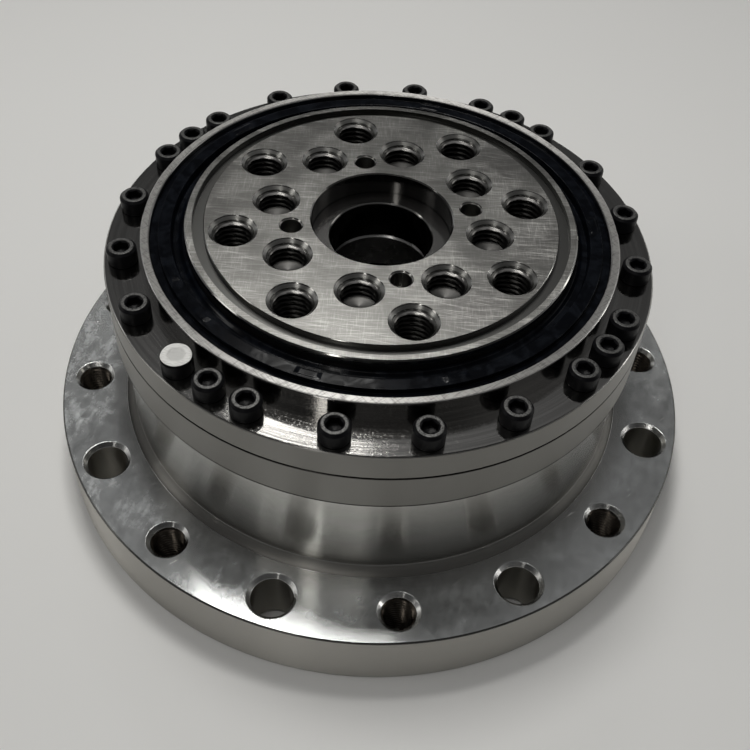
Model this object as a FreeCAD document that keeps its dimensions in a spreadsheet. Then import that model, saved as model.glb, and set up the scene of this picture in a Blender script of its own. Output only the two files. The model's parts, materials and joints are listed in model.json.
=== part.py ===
# Strain wave gearbox on a round base flange.
# Millimetres. The origin is the middle of the base's underside and +Z is the gear axis.
# The four groups of three screws stand on the X and Y axes.
import FreeCAD, Part
import math
import os
import re

import Sketcher

# Tooth counts, and how many of each repeated thing there are.
FLEXSPLINE_TEETH = 200
TOOTH_DIFFERENCE = 2
MOUNTING_SCREWS = 20
SCREW_GROUPS = 4
BASE_HOLES = 8
MOTOR_HOLES = 4
OUTPUT_HOLES = 8
DOWEL_HOLES = 4
ROLLERS = 52
BEARING_BALLS = 23

# Driving dimensions, in millimetres or degrees.
SIZES = [
    ("bore_dia", 30.0, "through bore of the output flange"),
    ("recess_step", 5.5, "recess wall beyond the bore"),
    ("recess_depth", 7.0, "depth of the central recess"),
    ("dowel_circle_dia", 53.0, "circle of the dowel holes"),
    ("dowel_dia", 6.0, "dowel hole"),
    ("dowel_depth", 12.0, "dowel hole depth"),
    ("dowel_break", 0.5, "chamfer on the dowel holes"),
    ("inner_circle_dia", 63.0, "circle of the inner tapped holes"),
    ("output_circle_dia", 86.0, "circle of the outer tapped holes"),
    ("output_thread_dia", 12.0, "thread of both circles of tapped holes"),
    ("output_thread_depth", 14.0, "full thread depth of the outer tapped holes"),
    ("thread_chamfer", 1.0, "countersink beyond the thread in the output face"),
    ("output_clock_angle", 2.04, "first outer tapped hole from the X axis"),
    ("disc_margin", 8.1, "outer tapped hole's centre to the disc's edge"),
    ("face_groove_width", 3.35, "groove around the disc"),
    ("face_groove_depth", 2.0, "depth of the groove around the disc"),
    ("land_width", 2.05, "bright rim outside the groove"),
    ("face_rise", 2.1, "output face above the boss"),
    ("output_thick", 19.2, "output flange through its bore"),
    ("land_depth", 8.0, "length of the land that the seal runs on"),
    ("land_step", 4.1, "bearing's inner ring beyond the seal's land"),
    ("ring_lift", 0.6, "bearing's inner ring above the circular spline"),
    ("ring_gap", 2.0, "gap between the bearing's two rings"),
    ("roller_dia", 6.0, "crossed roller"),
    ("roller_shortness", 0.3, "roller's length below its diameter"),
    ("roller_play", 0.05, "roller to raceway"),
    ("roller_height", 4.4, "roller centres above the outer ring's underside"),
    ("race_relief", 0.3, "flat at the bottom of a raceway"),
    ("spacer_thick", 0.9, "spacer between two rollers"),
    ("filler_dia", 6.6, "plug of the hole that rollers are loaded through"),
    ("filler_play", 0.01, "filler plug and pin to their holes"),
    ("filler_angle", 126.0, "filler plug from the X axis"),
    ("filler_pin_dia", 2.0, "pin that holds the filler plug"),
    ("filler_pin_inset", 3.0, "pin's centre inside the rim"),
    ("seal_width", 10.0, "seal from its land to its bore"),
    ("seal_depth", 6.0, "depth of the seal's seat"),
    ("seal_groove_width", 2.45, "groove outside the seal's raised band"),
    ("seal_groove_depth", 1.6, "depth of that groove"),
    ("seal_band_width", 3.6, "raised band of the seal"),
    ("seal_band_drop", 0.2, "raised band below the boss"),
    ("seal_cover", 0.7, "rubber outside the seal's steel case"),
    ("seal_dish_depth", 2.4, "dish inside the raised band"),
    ("seal_play", 0.04, "seal lips to their land"),
    ("lip_thick", 1.0, "rubber behind the sealing lips"),
    ("case_wall", 0.8, "sheet of the seal's steel case"),
    ("garter_wire_dia", 1.2, "garter spring's coil"),
    ("boss_wall", 2.5, "boss beyond the seal's bore"),
    ("boss_height", 7.2, "boss above the screw seat"),
    ("seat_band", 8.8, "outer ring's rim"),
    ("screw_offset", 5.5, "screw circle beyond the boss"),
    ("rim_margin", 5.5, "rim beyond the screw circle"),
    ("screw_dia", 5.0, "housing screws"),
    ("screw_hole_dia", 5.5, "clearance holes for the housing screws"),
    ("screw_head_dia", 8.5, "housing screw head"),
    ("screw_head_height", 5.0, "housing screw head height"),
    ("screw_socket", 4.0, "housing screw socket across flats"),
    ("screw_socket_depth", 2.6, "housing screw socket depth"),
    ("mounting_screw_length", 30.0, "screws that go into the base"),
    ("assembly_screw_length", 18.0, "screws that end in the circular spline"),
    ("screw_group_angle", 9.0, "between neighbours in a group of three screws"),
    ("tap_spare", 4.0, "tapped hole beyond a screw's tip"),
    ("thread_play", 0.05, "screw to tapped hole"),
    ("spline_band", 12.4, "circular spline's rim"),
    ("register_inset", 11.0, "register inside the screw circle"),
    ("register_length", 26.0, "register into the base"),
    ("register_play", 0.02, "register to its bore"),
    ("o_ring_dia", 1.6, "section of both sealing rings"),
    ("o_ring_room", 0.8, "groove wider than the ring"),
    ("o_ring_inset", 6.5, "sealing rings inside the screw circle"),
    ("neck_setback", 2.0, "neck inside the rim"),
    ("neck_height", 34.0, "neck above the base flange"),
    ("neck_fillet", 2.4, "fillet at the foot of the neck"),
    ("base_thick", 20.0, "base flange"),
    ("base_hole_offset", 13.25, "base hole circle beyond the neck"),
    ("base_margin", 9.75, "base edge beyond its hole circle"),
    ("base_hole_dia", 12.0, "through holes of the base"),
    ("base_thread_dia", 10.0, "tapped holes of the base"),
    ("base_thread_angle", 40.76, "first tapped base hole from the X axis"),
    ("hole_break", 1.2, "chamfer on the base's holes"),
    ("edge_break", 0.4, "chamfer on turned edges"),
    ("motor_pilot_dia", 110.0, "recess for the motor's spigot"),
    ("motor_pilot_depth", 6.0, "depth of that recess"),
    ("motor_circle_dia", 145.0, "circle of the motor screws"),
    ("motor_thread_dia", 8.0, "thread of the motor screws"),
    ("motor_thread_depth", 15.0, "thread depth of the motor screws"),
    ("throat_step", 3.0, "throat inside the motor's recess"),
    ("tooth_module", 0.5, "tooth module of the two splines"),
    ("tooth_tip", 0.45, "tooth above its pitch line"),
    ("tooth_root", 0.55, "tooth below its pitch line"),
    ("tooth_flank_angle", 30.0, "flank of the teeth"),
    ("tooth_backlash", 0.04, "play between the flanks"),
    ("tooth_width", 14.0, "circular spline's teeth"),
    ("relief", 1.0, "circular spline's bore beyond its roots, above the teeth"),
    ("cup_setback", 0.6, "flexspline's open end above the register's end"),
    ("cup_rim_wall", 1.25, "flexspline below its tooth roots"),
    ("cup_wall", 1.2, "flexspline's thin wall"),
    ("cup_corner", 4.0, "rounding between wall and diaphragm"),
    ("cup_boss_thick", 6.0, "flexspline's boss"),
    ("cup_boss_margin", 1.5, "boss beyond its screw heads"),
    ("diaphragm", 1.4, "flexspline's diaphragm"),
    ("clamp_thick", 6.0, "clamp ring under the flexspline's screws"),
    ("clamp_hole_play", 0.5, "flexspline's screws to their holes"),
    ("cup_screw_length", 25.0, "flexspline's screws"),
    ("cup_head_dia", 18.0, "flexspline's screw heads"),
    ("cup_head_height", 7.0, "flexspline's screw head height"),
    ("cup_socket", 8.0, "flexspline's screw sockets across flats"),
    ("cup_socket_depth", 4.0, "flexspline's screw socket depth"),
    ("race_play", 0.03, "bearing to flexspline, and balls to raceways"),
    ("outer_race_wall", 1.3, "flexible bearing's outer race behind its groove"),
    ("inner_race_wall", 1.9, "flexible bearing's inner race behind its groove"),
    ("ball_dia", 7.2, "flexible bearing's balls"),
    ("race_groove_depth", 1.5, "raceway grooves"),
    ("bearing_width", 13.0, "flexible bearing"),
    ("separator_wall", 2.4, "ball separator"),
    ("separator_below", 2.0, "ball separator below the balls' centres"),
    ("separator_above", 5.2, "ball separator above the balls' centres"),
    ("pocket_play", 0.15, "ball to its pocket"),
    ("plug_width", 15.0, "oval plug"),
    ("plug_wall", 7.5, "oval plug around its recess"),
    ("plug_recess_depth", 8.5, "recess for the coupling"),
    ("shaft_dia", 19.0, "motor shaft bore"),
    ("key_width", 6.0, "keyway"),
    ("key_depth", 2.8, "keyway beyond the bore"),
    ("hub_wall", 5.5, "hub around the motor shaft"),
    ("collar_wall", 9.0, "hub's collar around the motor shaft"),
    ("collar_length", 19.0, "hub's collar"),
    ("collar_gap", 1.0, "collar below the oval plug"),
    ("hub_play", 2.0, "hub inside the oval plug's bore"),
    ("washer_width", 5.0, "rub washers"),
    ("washer_thick", 0.4, "rub washers' sheet"),
    ("insert_thick", 4.0, "coupling insert"),
    ("insert_play", 0.6, "coupling insert inside its recess"),
    ("lug_width", 8.0, "coupling lugs"),
    ("lug_play", 0.05, "coupling lugs to their slots"),
    ("hub_flange_thick", 2.4, "hub's flange"),
    ("snap_thick", 1.0, "snap ring"),
    ("snap_depth", 1.2, "snap ring's groove"),
    ("snap_width", 2.4, "snap ring's section"),
    ("snap_opening_angle", 25.0, "gap in the snap ring"),
    ("set_screw_dia", 5.0, "hub's set screws"),
    ("set_screw_socket", 2.5, "set screw socket across flats"),
    ("set_screw_height", 8.0, "set screws above the collar's end"),
]

# Places that follow from the driving dimensions: radii, then heights.
PLACES = {
    "bore_r": "bore_dia / 2",
    "recess_r": "bore_r + recess_step",
    "dowel_circle_r": "dowel_circle_dia / 2",
    "inner_circle_r": "inner_circle_dia / 2",
    "output_circle_r": "output_circle_dia / 2",
    "output_thread_r": "output_thread_dia / 2",
    "disc_r": "output_circle_r + disc_margin",
    "face_groove_r": "disc_r + face_groove_width",
    "land_r": "face_groove_r + land_width",
    "race_in_r": "land_r + land_step",
    "roller_circle_r": "race_in_r + ring_gap / 2",
    "race_out_r": "race_in_r + ring_gap",
    "roller_length": "roller_dia - roller_shortness",
    "vee_reach": "(roller_dia / 2 + roller_play) * sqrt(2)",
    "vee_half": "vee_reach - ring_gap / 2",
    "vee_in_r": "roller_circle_r - vee_reach + race_relief",
    "vee_out_r": "roller_circle_r + vee_reach - race_relief",
    "seal_bore_r": "land_r + seal_width",
    "boss_r": "seal_bore_r + boss_wall",
    "screw_circle_r": "boss_r + screw_offset",
    "rim_r": "screw_circle_r + rim_margin",
    "screw_hole_r": "screw_hole_dia / 2",
    "register_r": "screw_circle_r - register_inset",
    "register_bore_r": "register_r + register_play",
    "o_ring_r": "screw_circle_r - o_ring_inset",
    "o_groove_half": "(o_ring_dia + o_ring_room) / 2",
    "neck_r": "rim_r - neck_setback",
    "base_circle_r": "neck_r + base_hole_offset",
    "base_r": "base_circle_r + base_margin",
    "pilot_r": "motor_pilot_dia / 2",
    "throat_r": "pilot_r - throat_step",
    "cup_pitch_r": f"tooth_module * {FLEXSPLINE_TEETH} / 2",
    "wave": f"tooth_module * {TOOTH_DIFFERENCE} / 2",
    "ring_pitch_r": "cup_pitch_r + wave",
    "relief_r": "ring_pitch_r + tooth_root + relief",
    "cup_rim_r": "cup_pitch_r - tooth_root - cup_rim_wall",
    "ovality": "wave / cup_pitch_r",
    "outer_race_r": "cup_rim_r - race_play",
    "ball_circle_r": "outer_race_r - outer_race_wall - race_play - ball_dia / 2",
    "groove_r": "ball_dia / 2 + race_play",
    "outer_shoulder_r": "ball_circle_r + groove_r - race_groove_depth",
    "inner_shoulder_r": "ball_circle_r - groove_r + race_groove_depth",
    "plug_r": "ball_circle_r - groove_r - inner_race_wall",
    "plug_recess_r": "plug_r - plug_wall",
    "cup_boss_r": "inner_circle_r + cup_head_dia / 2 + cup_boss_margin",
    "cup_hole_r": "output_thread_r + clamp_hole_play",
    "hub_r": "shaft_dia / 2 + hub_wall",
    "collar_r": "shaft_dia / 2 + collar_wall",
    "washer_in_r": "hub_r + hub_play / 4",
    "washer_out_r": "washer_in_r + washer_width",
    "lug_in_r": "washer_out_r + hub_play / 2",
    "insert_r": "plug_recess_r - insert_play",
    "neck_top": "base_thick + neck_height",
    "seam": "neck_top + spline_band",
    "seat": "seam + seat_band",
    "boss_top": "seat + boss_height",
    "face": "boss_top + face_rise",
    "recess_floor": "face - recess_depth",
    "groove_floor": "face - face_groove_depth",
    "land_floor": "face - land_depth",
    "ring_bottom": "seam + ring_lift",
    "output_bottom": "face - output_thick",
    "roller_z": "seam + roller_height",
    "seal_floor": "boss_top - seal_depth",
    "seal_top": "boss_top - seal_band_drop",
    "seal_groove_floor": "seal_top - seal_groove_depth",
    "seal_dish_floor": "seal_top - seal_dish_depth",
    "case_top": "seal_dish_floor - seal_cover / 4",
    "case_floor": "case_top - case_wall",
    "register_end": "neck_top - register_length",
    "tooth_top": "register_end + tooth_width",
    "cup_end": "register_end + cup_setback",
    "cup_rim_top": "tooth_top + cup_setback",
    "clamp_top": "output_bottom - cup_boss_thick",
    "cup_head_seat": "clamp_top - clamp_thick",
    "bearing_z": "register_end + tooth_width / 2 + cup_setback",
    "plug_bottom": "bearing_z - plug_width / 2",
    "plug_top": "bearing_z + plug_width / 2",
    "coupling_floor": "plug_top - plug_recess_depth",
    "insert_z": "coupling_floor + washer_thick",
    "upper_washer_z": "insert_z + insert_thick",
    "hub_flange_z": "upper_washer_z + washer_thick",
    "hub_top": "hub_flange_z + hub_flange_thick",
    "snap_z": "hub_top + washer_thick / 2",
    "collar_top": "plug_bottom - collar_gap",
    "hub_end": "collar_top - collar_length",
}

doc = FreeCAD.newDocument("strain_wave_gearbox")
sheet = doc.addObject("Spreadsheet::Sheet", "Sizes")
for row, (alias, size, meaning) in enumerate(SIZES, 1):
    sheet.set(f"A{row}", alias)
    sheet.set(f"B{row}", str(size))
    sheet.setAlias(f"B{row}", alias)
    sheet.set(f"C{row}", meaning)
doc.recompute()
ALIASES = {alias for alias, size, meaning in SIZES}


def spell(text):
    """Writes a formula in terms of the sheet's cells alone."""
    def word(match):
        name = match.group(0)
        if name in ALIASES:
            return "Sizes." + name
        return f"({spell(PLACES[name])})" if name in PLACES else name
    return re.sub(r"[a-z][a-z_]*", word, text)


def number(text):
    """The present value of a formula."""
    return float(sheet.evalExpression(spell(text)))


def bind(feature, **formulas):
    """Ties properties of a feature to formulas on the sheet. Two underscores stand for a dot."""
    for name, text in formulas.items():
        feature.setExpression(name.replace("__", "."), spell(text))
    return feature


def origin(body, role):
    return next(feature for feature in body.Origin.OriginFeatures if feature.Role == role)


def sketch_on(body, name, role="XZ_Plane"):
    sketch = body.newObject("Sketcher::SketchObject", name)
    sketch.AttachmentSupport = [(origin(body, role), "")]
    sketch.MapMode = "FlatFace"
    return sketch


def hold(sketch, edge, corner, x_text, y_text):
    """Holds one end of an edge at formulas for its distance from the axis and its height."""
    for kind, text, axis in (("DistanceX", x_text, -2), ("DistanceY", y_text, -1)):
        value = number(text)
        if abs(value) < 1e-9:
            sketch.addConstraint(Sketcher.Constraint("PointOnObject", edge, corner, axis))
        else:
            index = sketch.addConstraint(Sketcher.Constraint(kind, -1, 1, edge, corner, value))
            sketch.setExpression(f"Constraints[{index}]", spell(text))


def outline(sketch, corners):
    """A closed outline of straight lines. A corner's third item is the radius of a hollow quarter arc to it."""
    points = [FreeCAD.Vector(number(corner[0]), number(corner[1]), 0) for corner in corners]
    for index, corner in enumerate(corners):
        begin, end = points[index - 1], points[index]
        if len(corner) == 3:
            radius = number(corner[2])
            middle = FreeCAD.Vector(begin.x, end.y, 0)
            circle = Part.Circle(middle, FreeCAD.Vector(0, 0, 1), radius)
            sketch.addGeometry(Part.ArcOfCircle(circle, math.pi, 1.5 * math.pi), False)
        else:
            sketch.addGeometry(Part.LineSegment(begin, end), False)
    arcs = {index for index, corner in enumerate(corners) if len(corner) == 3}
    for index, corner in enumerate(corners):
        after = (index + 1) % len(corners)
        ending = 1 if index in arcs else 2
        starting = 2 if after in arcs else 1
        sketch.addConstraint(Sketcher.Constraint("Coincident", index, ending, after, starting))
        hold(sketch, index, ending, corner[0], corner[1])
        if index in arcs:
            rounding = sketch.addConstraint(Sketcher.Constraint("Radius", index, number(corner[2])))
            sketch.setExpression(f"Constraints[{rounding}]", spell(corner[2]))


def turned(label, corners):
    """A piece turned about the gear axis from an outline of (radius, height) corners."""
    body = doc.addObject("PartDesign::Body", label)
    sketch = sketch_on(body, label + "_outline")
    outline(sketch, corners)
    turning = body.newObject("PartDesign::Revolution", label + "_turning")
    turning.Profile = sketch
    turning.ReferenceAxis = (sketch, ["V_Axis"])
    turning.Angle = 360
    doc.recompute()
    return body


def drilled(body, name, circle, corners, count, angle="0"):
    """Holes on a circle, each turned out by an outline of (distance from its own axis, height) corners."""
    before = body.Shape.Volume
    sketch = sketch_on(body, name + "_outline")
    sketch.AttachmentOffset = FreeCAD.Placement(FreeCAD.Vector(), FreeCAD.Rotation(FreeCAD.Vector(0, 1, 0), 1))
    bind(sketch, AttachmentOffset__Rotation__Angle=angle)
    outline(sketch, [(f"{circle} + {offset}", height) for offset, height in corners])
    low = FreeCAD.Vector(number(circle), number(corners[0][1]), 0)
    high = FreeCAD.Vector(number(circle), number(corners[-1][1]), 0)
    axis = sketch.addGeometry(Part.LineSegment(low, high), True)
    sketch.addConstraint(Sketcher.Constraint("Coincident", axis, 1, 0, 2))
    sketch.addConstraint(Sketcher.Constraint("Coincident", axis, 2, len(corners) - 1, 2))
    hole = body.newObject("PartDesign::Groove", name)
    hole.Profile = sketch
    hole.ReferenceAxis = (sketch, ["Axis0"])
    hole.Angle = 360
    body.Tip = hole
    doc.recompute()
    if count > 1:
        circle_of_holes = body.newObject("PartDesign::PolarPattern", name + "_circle")
        circle_of_holes.Originals = [hole]
        circle_of_holes.Axis = (origin(body, "Z_Axis"), [""])
        circle_of_holes.Angle = 360
        circle_of_holes.Occurrences = count
        body.Tip = circle_of_holes
        doc.recompute()
    if body.Shape.Volume >= before:
        raise RuntimeError(name + " removed nothing")


def through_hole(radius, bottom, top, chamfer):
    return [("0", bottom), (f"{radius} + {chamfer}", bottom), (radius, f"{bottom} + {chamfer}"),
            (radius, f"{top} - {chamfer}"), (f"{radius} + {chamfer}", top), ("0", top)]


def blind_hole(radius, mouth, end, chamfer):
    """A hole from its mouth down to a lower end, with the drill's point below it."""
    return [("0", f"{end} - {radius} * tan(31)"), (radius, end), (radius, f"{mouth} - {chamfer}"),
            (f"{radius} + {chamfer}", mouth), ("0", mouth)]


def primitive(kind, name, **formulas):
    return bind(doc.addObject("Part::" + kind, name), **formulas)


def cylinder(name, radius, bottom, height):
    return primitive("Cylinder", name, Radius=radius, Height=height, Placement__Base__z=bottom)


def block(name, length, width, height, corner):
    """A block with a lower corner at three formulas."""
    return primitive("Box", name, Length=length, Width=width, Height=height, Placement__Base__x=corner[0],
                     Placement__Base__y=corner[1], Placement__Base__z=corner[2])


def fused(name, *pieces):
    union = doc.addObject("Part::MultiFuse", name)
    union.Shapes = list(pieces)
    return union


def cut(name, piece, *tools):
    remainder = doc.addObject("Part::Cut", name)
    remainder.Base = piece
    remainder.Tool = tools[0] if len(tools) == 1 else fused(name + "_tools", *tools)
    return remainder


def shaped(label, shape):
    feature = doc.addObject("Part::Feature", label)
    feature.Shape = shape
    return feature


def oval_line(name, radius, height):
    """The oval that a circle about the gear axis becomes on the plug."""
    return primitive("Ellipse", name, MajorRadius=f"({radius}) * (1 + ovality)",
                     MinorRadius=f"({radius}) * (1 - ovality)", Placement__Base__z=height)


def oval_disc(name, radius, bottom, height):
    disc = doc.addObject("Part::Extrusion", name)
    disc.Base = oval_line(name + "_line", radius, bottom)
    disc.DirMode = "Custom"
    disc.Dir = FreeCAD.Vector(0, 0, 1)
    disc.Solid = True
    return bind(disc, LengthFwd=height)


def around(label, master, radius, height, angles, tilt=None):
    """Copies of one piece as a group of separate solids on a circle, each at its own angle and tilt."""
    copies = []
    for index, angle in enumerate(angles):
        lean = tilt(index) if tilt else FreeCAD.Rotation()
        place = FreeCAD.Placement(FreeCAD.Vector(radius, 0, height), lean)
        turn = FreeCAD.Placement(FreeCAD.Vector(), FreeCAD.Rotation(FreeCAD.Vector(0, 0, 1), angle))
        copy = master.Shape.copy()
        copy.Placement = turn.multiply(place).multiply(copy.Placement)
        copies.append(copy)
    return shaped(label, Part.makeCompound(copies))


def spread(count, first=0.0):
    return [first + 360.0 * index / count for index in range(count)]


def socket_screw(label, thread, head, head_height, length, socket, socket_depth):
    """A socket head screw with the underside of its head at the origin and its thread along -Z."""
    shank = f"({thread} / 2 - thread_play)"
    chamfer = f"({thread} / 10)"
    body = turned(label, [("0", f"0 - {length}"), (f"{shank} - {chamfer}", f"0 - {length}"),
                          (shank, f"{chamfer} - {length}"), (shank, "0"), (f"{head} / 2", "0"),
                          (f"{head} / 2", f"{head_height} - {chamfer}"),
                          (f"{head} / 2 - {chamfer}", head_height), ("0", head_height)])
    hexagon = body.newObject("PartDesign::SubtractivePrism", label + "_socket")
    hexagon.Polygon = 6
    hexagon.AttachmentSupport = [(origin(body, "XY_Plane"), "")]
    hexagon.MapMode = "FlatFace"
    bind(hexagon, Circumradius=f"{socket} / sqrt(3)", Height=socket_depth,
         AttachmentOffset__Base__z=f"{head_height} - {socket_depth}")
    body.Tip = hexagon
    doc.recompute()
    return body


# Base flange: bolting flange, neck, register bore, throat and the recess for the motor's spigot.
base_flange = turned("base_flange", [
    ("pilot_r + edge_break", "0"), ("base_r - edge_break", "0"), ("base_r", "edge_break"),
    ("base_r", "base_thick - edge_break"), ("base_r - edge_break", "base_thick"),
    ("neck_r + neck_fillet", "base_thick"), ("neck_r", "base_thick + neck_fillet", "neck_fillet"),
    ("neck_r", "neck_top"), ("o_ring_r + o_groove_half", "neck_top"),
    ("o_ring_r + o_groove_half", "neck_top - o_ring_dia"), ("o_ring_r - o_groove_half", "neck_top - o_ring_dia"),
    ("o_ring_r - o_groove_half", "neck_top"), ("register_bore_r + edge_break", "neck_top"),
    ("register_bore_r", "neck_top - edge_break"), ("register_bore_r", "register_end"),
    ("throat_r", "register_end"), ("throat_r", "motor_pilot_depth"), ("pilot_r", "motor_pilot_depth"),
    ("pilot_r", "edge_break")])
drilled(base_flange, "base_tapped_hole", "base_circle_r",
        through_hole("base_thread_dia / 2", "0", "base_thick", "hole_break"), BASE_HOLES, "base_thread_angle")
drilled(base_flange, "base_through_hole", "base_circle_r",
        through_hole("base_hole_dia / 2", "0", "base_thick", "hole_break"), BASE_HOLES,
        f"base_thread_angle + 180 / {BASE_HOLES}")
drilled(base_flange, "motor_tapped_hole", "motor_circle_dia / 2", [
    ("0", "0"), ("motor_thread_dia / 2 + hole_break", "0"), ("motor_thread_dia / 2", "hole_break"),
    ("motor_thread_dia / 2", "motor_thread_depth"),
    ("0", "motor_thread_depth + motor_thread_dia / 2 * tan(31)")], MOTOR_HOLES, f"180 / {MOTOR_HOLES}")
drilled(base_flange, "screw_tapped_hole", "screw_circle_r",
        blind_hole("screw_dia / 2", "neck_top", "seat - mounting_screw_length - tap_spare", "edge_break"),
        MOUNTING_SCREWS, "screw_group_angle")


def tooth_points(pitch_radius, count, outward, first, push):
    """Corners of trapezoid teeth on a pitch circle, each moved by push(angle) = (out, along)."""
    thick = math.pi * number("tooth_module") / 4 - number("tooth_backlash") / 2
    slope = math.tan(math.radians(number("tooth_flank_angle")))
    tip, root = number("tooth_tip"), number("tooth_root")
    points = []
    for angle in (math.radians(degrees) for degrees in spread(count, first)):
        out, along = push(angle)
        for rise, side in ((-root, -1), (tip, -1), (tip, 1), (-root, 1)):
            radius = pitch_radius + outward * rise
            spin = angle + side * (thick - rise * slope) / radius
            radius_now = radius + out
            spin_now = spin + along / radius
            points.append(FreeCAD.Vector(radius_now * math.cos(spin_now), radius_now * math.sin(spin_now), 0))
    return points


def toothed_face(points, height):
    wire = Part.makePolygon(points + points[:1])
    wire.translate(FreeCAD.Vector(0, 0, height))
    return Part.Face(wire)


# Circular spline: rim, register and internal teeth, with a gap of the teeth on the X axis.
spline_blank = turned("spline_blank", [
    ("cup_pitch_r - tooth_tip", "register_end"), ("register_r - edge_break", "register_end"),
    ("register_r", "register_end + edge_break"), ("register_r", "neck_top"), ("rim_r - edge_break", "neck_top"),
    ("rim_r", "neck_top + edge_break"), ("rim_r", "seam - edge_break"), ("rim_r - edge_break", "seam"),
    ("o_ring_r + o_groove_half", "seam"), ("o_ring_r + o_groove_half", "seam - o_ring_dia"),
    ("o_ring_r - o_groove_half", "seam - o_ring_dia"), ("o_ring_r - o_groove_half", "seam"),
    ("relief_r", "seam"), ("relief_r", "tooth_top"), ("cup_pitch_r - tooth_tip", "tooth_top")])
drilled(spline_blank, "spline_screw_hole", "screw_circle_r",
        through_hole("screw_hole_r", "neck_top", "seam", "edge_break / 2"), MOUNTING_SCREWS, "screw_group_angle")
drilled(spline_blank, "spline_tapped_hole", "screw_circle_r",
        through_hole("screw_dia / 2", "neck_top", "seam", "edge_break / 2"), SCREW_GROUPS)
ring_teeth = FLEXSPLINE_TEETH + TOOTH_DIFFERENCE
ring_face = toothed_face(tooth_points(number("ring_pitch_r"), ring_teeth, -1, 180.0 / ring_teeth,
                                      lambda angle: (0.0, 0.0)), number("register_end"))
tooth_gaps = shaped("tooth_gaps", ring_face.extrude(FreeCAD.Vector(0, 0, number("tooth_width"))))
circular_spline = cut("circular_spline", spline_blank, tooth_gaps)

# Crossed roller bearing: outer ring with its boss and screw seat, filler plug and pin.
OUTER_RING = [
    ("race_out_r", "seam"), ("rim_r - edge_break", "seam"), ("rim_r", "seam + edge_break"),
    ("rim_r", "seat - edge_break"), ("rim_r - edge_break", "seat"), ("boss_r", "seat"),
    ("boss_r", "boss_top - edge_break"), ("boss_r - edge_break", "boss_top"),
    ("seal_bore_r + edge_break", "boss_top"), ("seal_bore_r", "boss_top - edge_break"),
    ("seal_bore_r", "seal_floor"), ("race_out_r", "seal_floor"), ("race_out_r", "roller_z + vee_half"),
    ("vee_out_r", "roller_z + race_relief"), ("vee_out_r", "roller_z - race_relief"),
    ("race_out_r", "roller_z - vee_half")]


def filler_bar(name, radius):
    """A radial bar through the outer ring at the filler hole."""
    bar = primitive("Cylinder", name, Radius=radius, Height="rim_r", Placement__Base__z="roller_z")
    bar.Placement.Rotation = (FreeCAD.Rotation(FreeCAD.Vector(0, 0, 1), number("filler_angle"))
                              * FreeCAD.Rotation(FreeCAD.Vector(0, 1, 0), 90))
    return bar


outer_ring_drilled = turned("outer_ring_drilled", OUTER_RING)
drilled(outer_ring_drilled, "ring_screw_hole", "screw_circle_r",
        through_hole("screw_hole_r", "seam", "seat", "edge_break / 2"), MOUNTING_SCREWS, "screw_group_angle")
drilled(outer_ring_drilled, "ring_group_hole", "screw_circle_r",
        through_hole("screw_hole_r", "seam", "seat", "edge_break / 2"), SCREW_GROUPS)
PIN_PLACE = "rim_r - filler_pin_inset"
PIN_END = "roller_z - filler_dia / 4"
PIN_HOLE_R = "filler_pin_dia / 2"


def pin_outline(radius):
    """Half the section of a bar from the pin's end up to the screw seat."""
    return [("0", PIN_END), (radius, PIN_END), (radius, "seat"), ("0", "seat")]


drilled(outer_ring_drilled, "filler_pin_hole", PIN_PLACE, pin_outline(PIN_HOLE_R), 1, "filler_angle")
bearing_outer_ring = cut("bearing_outer_ring", outer_ring_drilled, filler_bar("filler_hole", "filler_dia / 2"))
pin_room = turned("filler_pin_room", pin_outline(PIN_HOLE_R))
pin_stock = turned("filler_pin_stock", pin_outline(f"{PIN_HOLE_R} - filler_play"))
pin_angle = [number("filler_angle")]
filler_pin = around("filler_pin", pin_stock, number(PIN_PLACE), 0, pin_angle)
pin_hole = around("filler_pin_hole_room", pin_room, number(PIN_PLACE), 0, pin_angle)
plug_blank = doc.addObject("Part::Common", "filler_plug_blank")
plug_blank.Base = turned("outer_ring_blank", OUTER_RING)
plug_blank.Tool = filler_bar("filler_bar", "filler_dia / 2 - filler_play")
filler_plug = cut("filler_plug", plug_blank, pin_hole)

# Crossed rollers, every other one leaning the other way, and the spacers between them.
roller = turned("cross_roller", [
    ("0", "0 - roller_length / 2"), ("roller_dia / 2 - race_relief", "0 - roller_length / 2"),
    ("roller_dia / 2", "race_relief - roller_length / 2"), ("roller_dia / 2", "roller_length / 2 - race_relief"),
    ("roller_dia / 2 - race_relief", "roller_length / 2"), ("0", "roller_length / 2")])
ACROSS = FreeCAD.Vector(0, 1, 0)
cross_rollers = around("cross_rollers", roller, number("roller_circle_r"), number("roller_z"), spread(ROLLERS),
                       lambda index: FreeCAD.Rotation(ACROSS, 45 if index % 2 else -45))
spacer_side = "roller_dia * 0.7"
spacer = block("roller_spacer", spacer_side, "spacer_thick", spacer_side,
               (f"0 - {spacer_side} / 2", "0 - spacer_thick / 2", f"0 - {spacer_side} / 2"))
doc.recompute()
roller_spacers = around("roller_spacers", spacer, number("roller_circle_r"), number("roller_z"),
                        spread(ROLLERS, 180.0 / ROLLERS), lambda index: FreeCAD.Rotation(ACROSS, 45))

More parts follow.
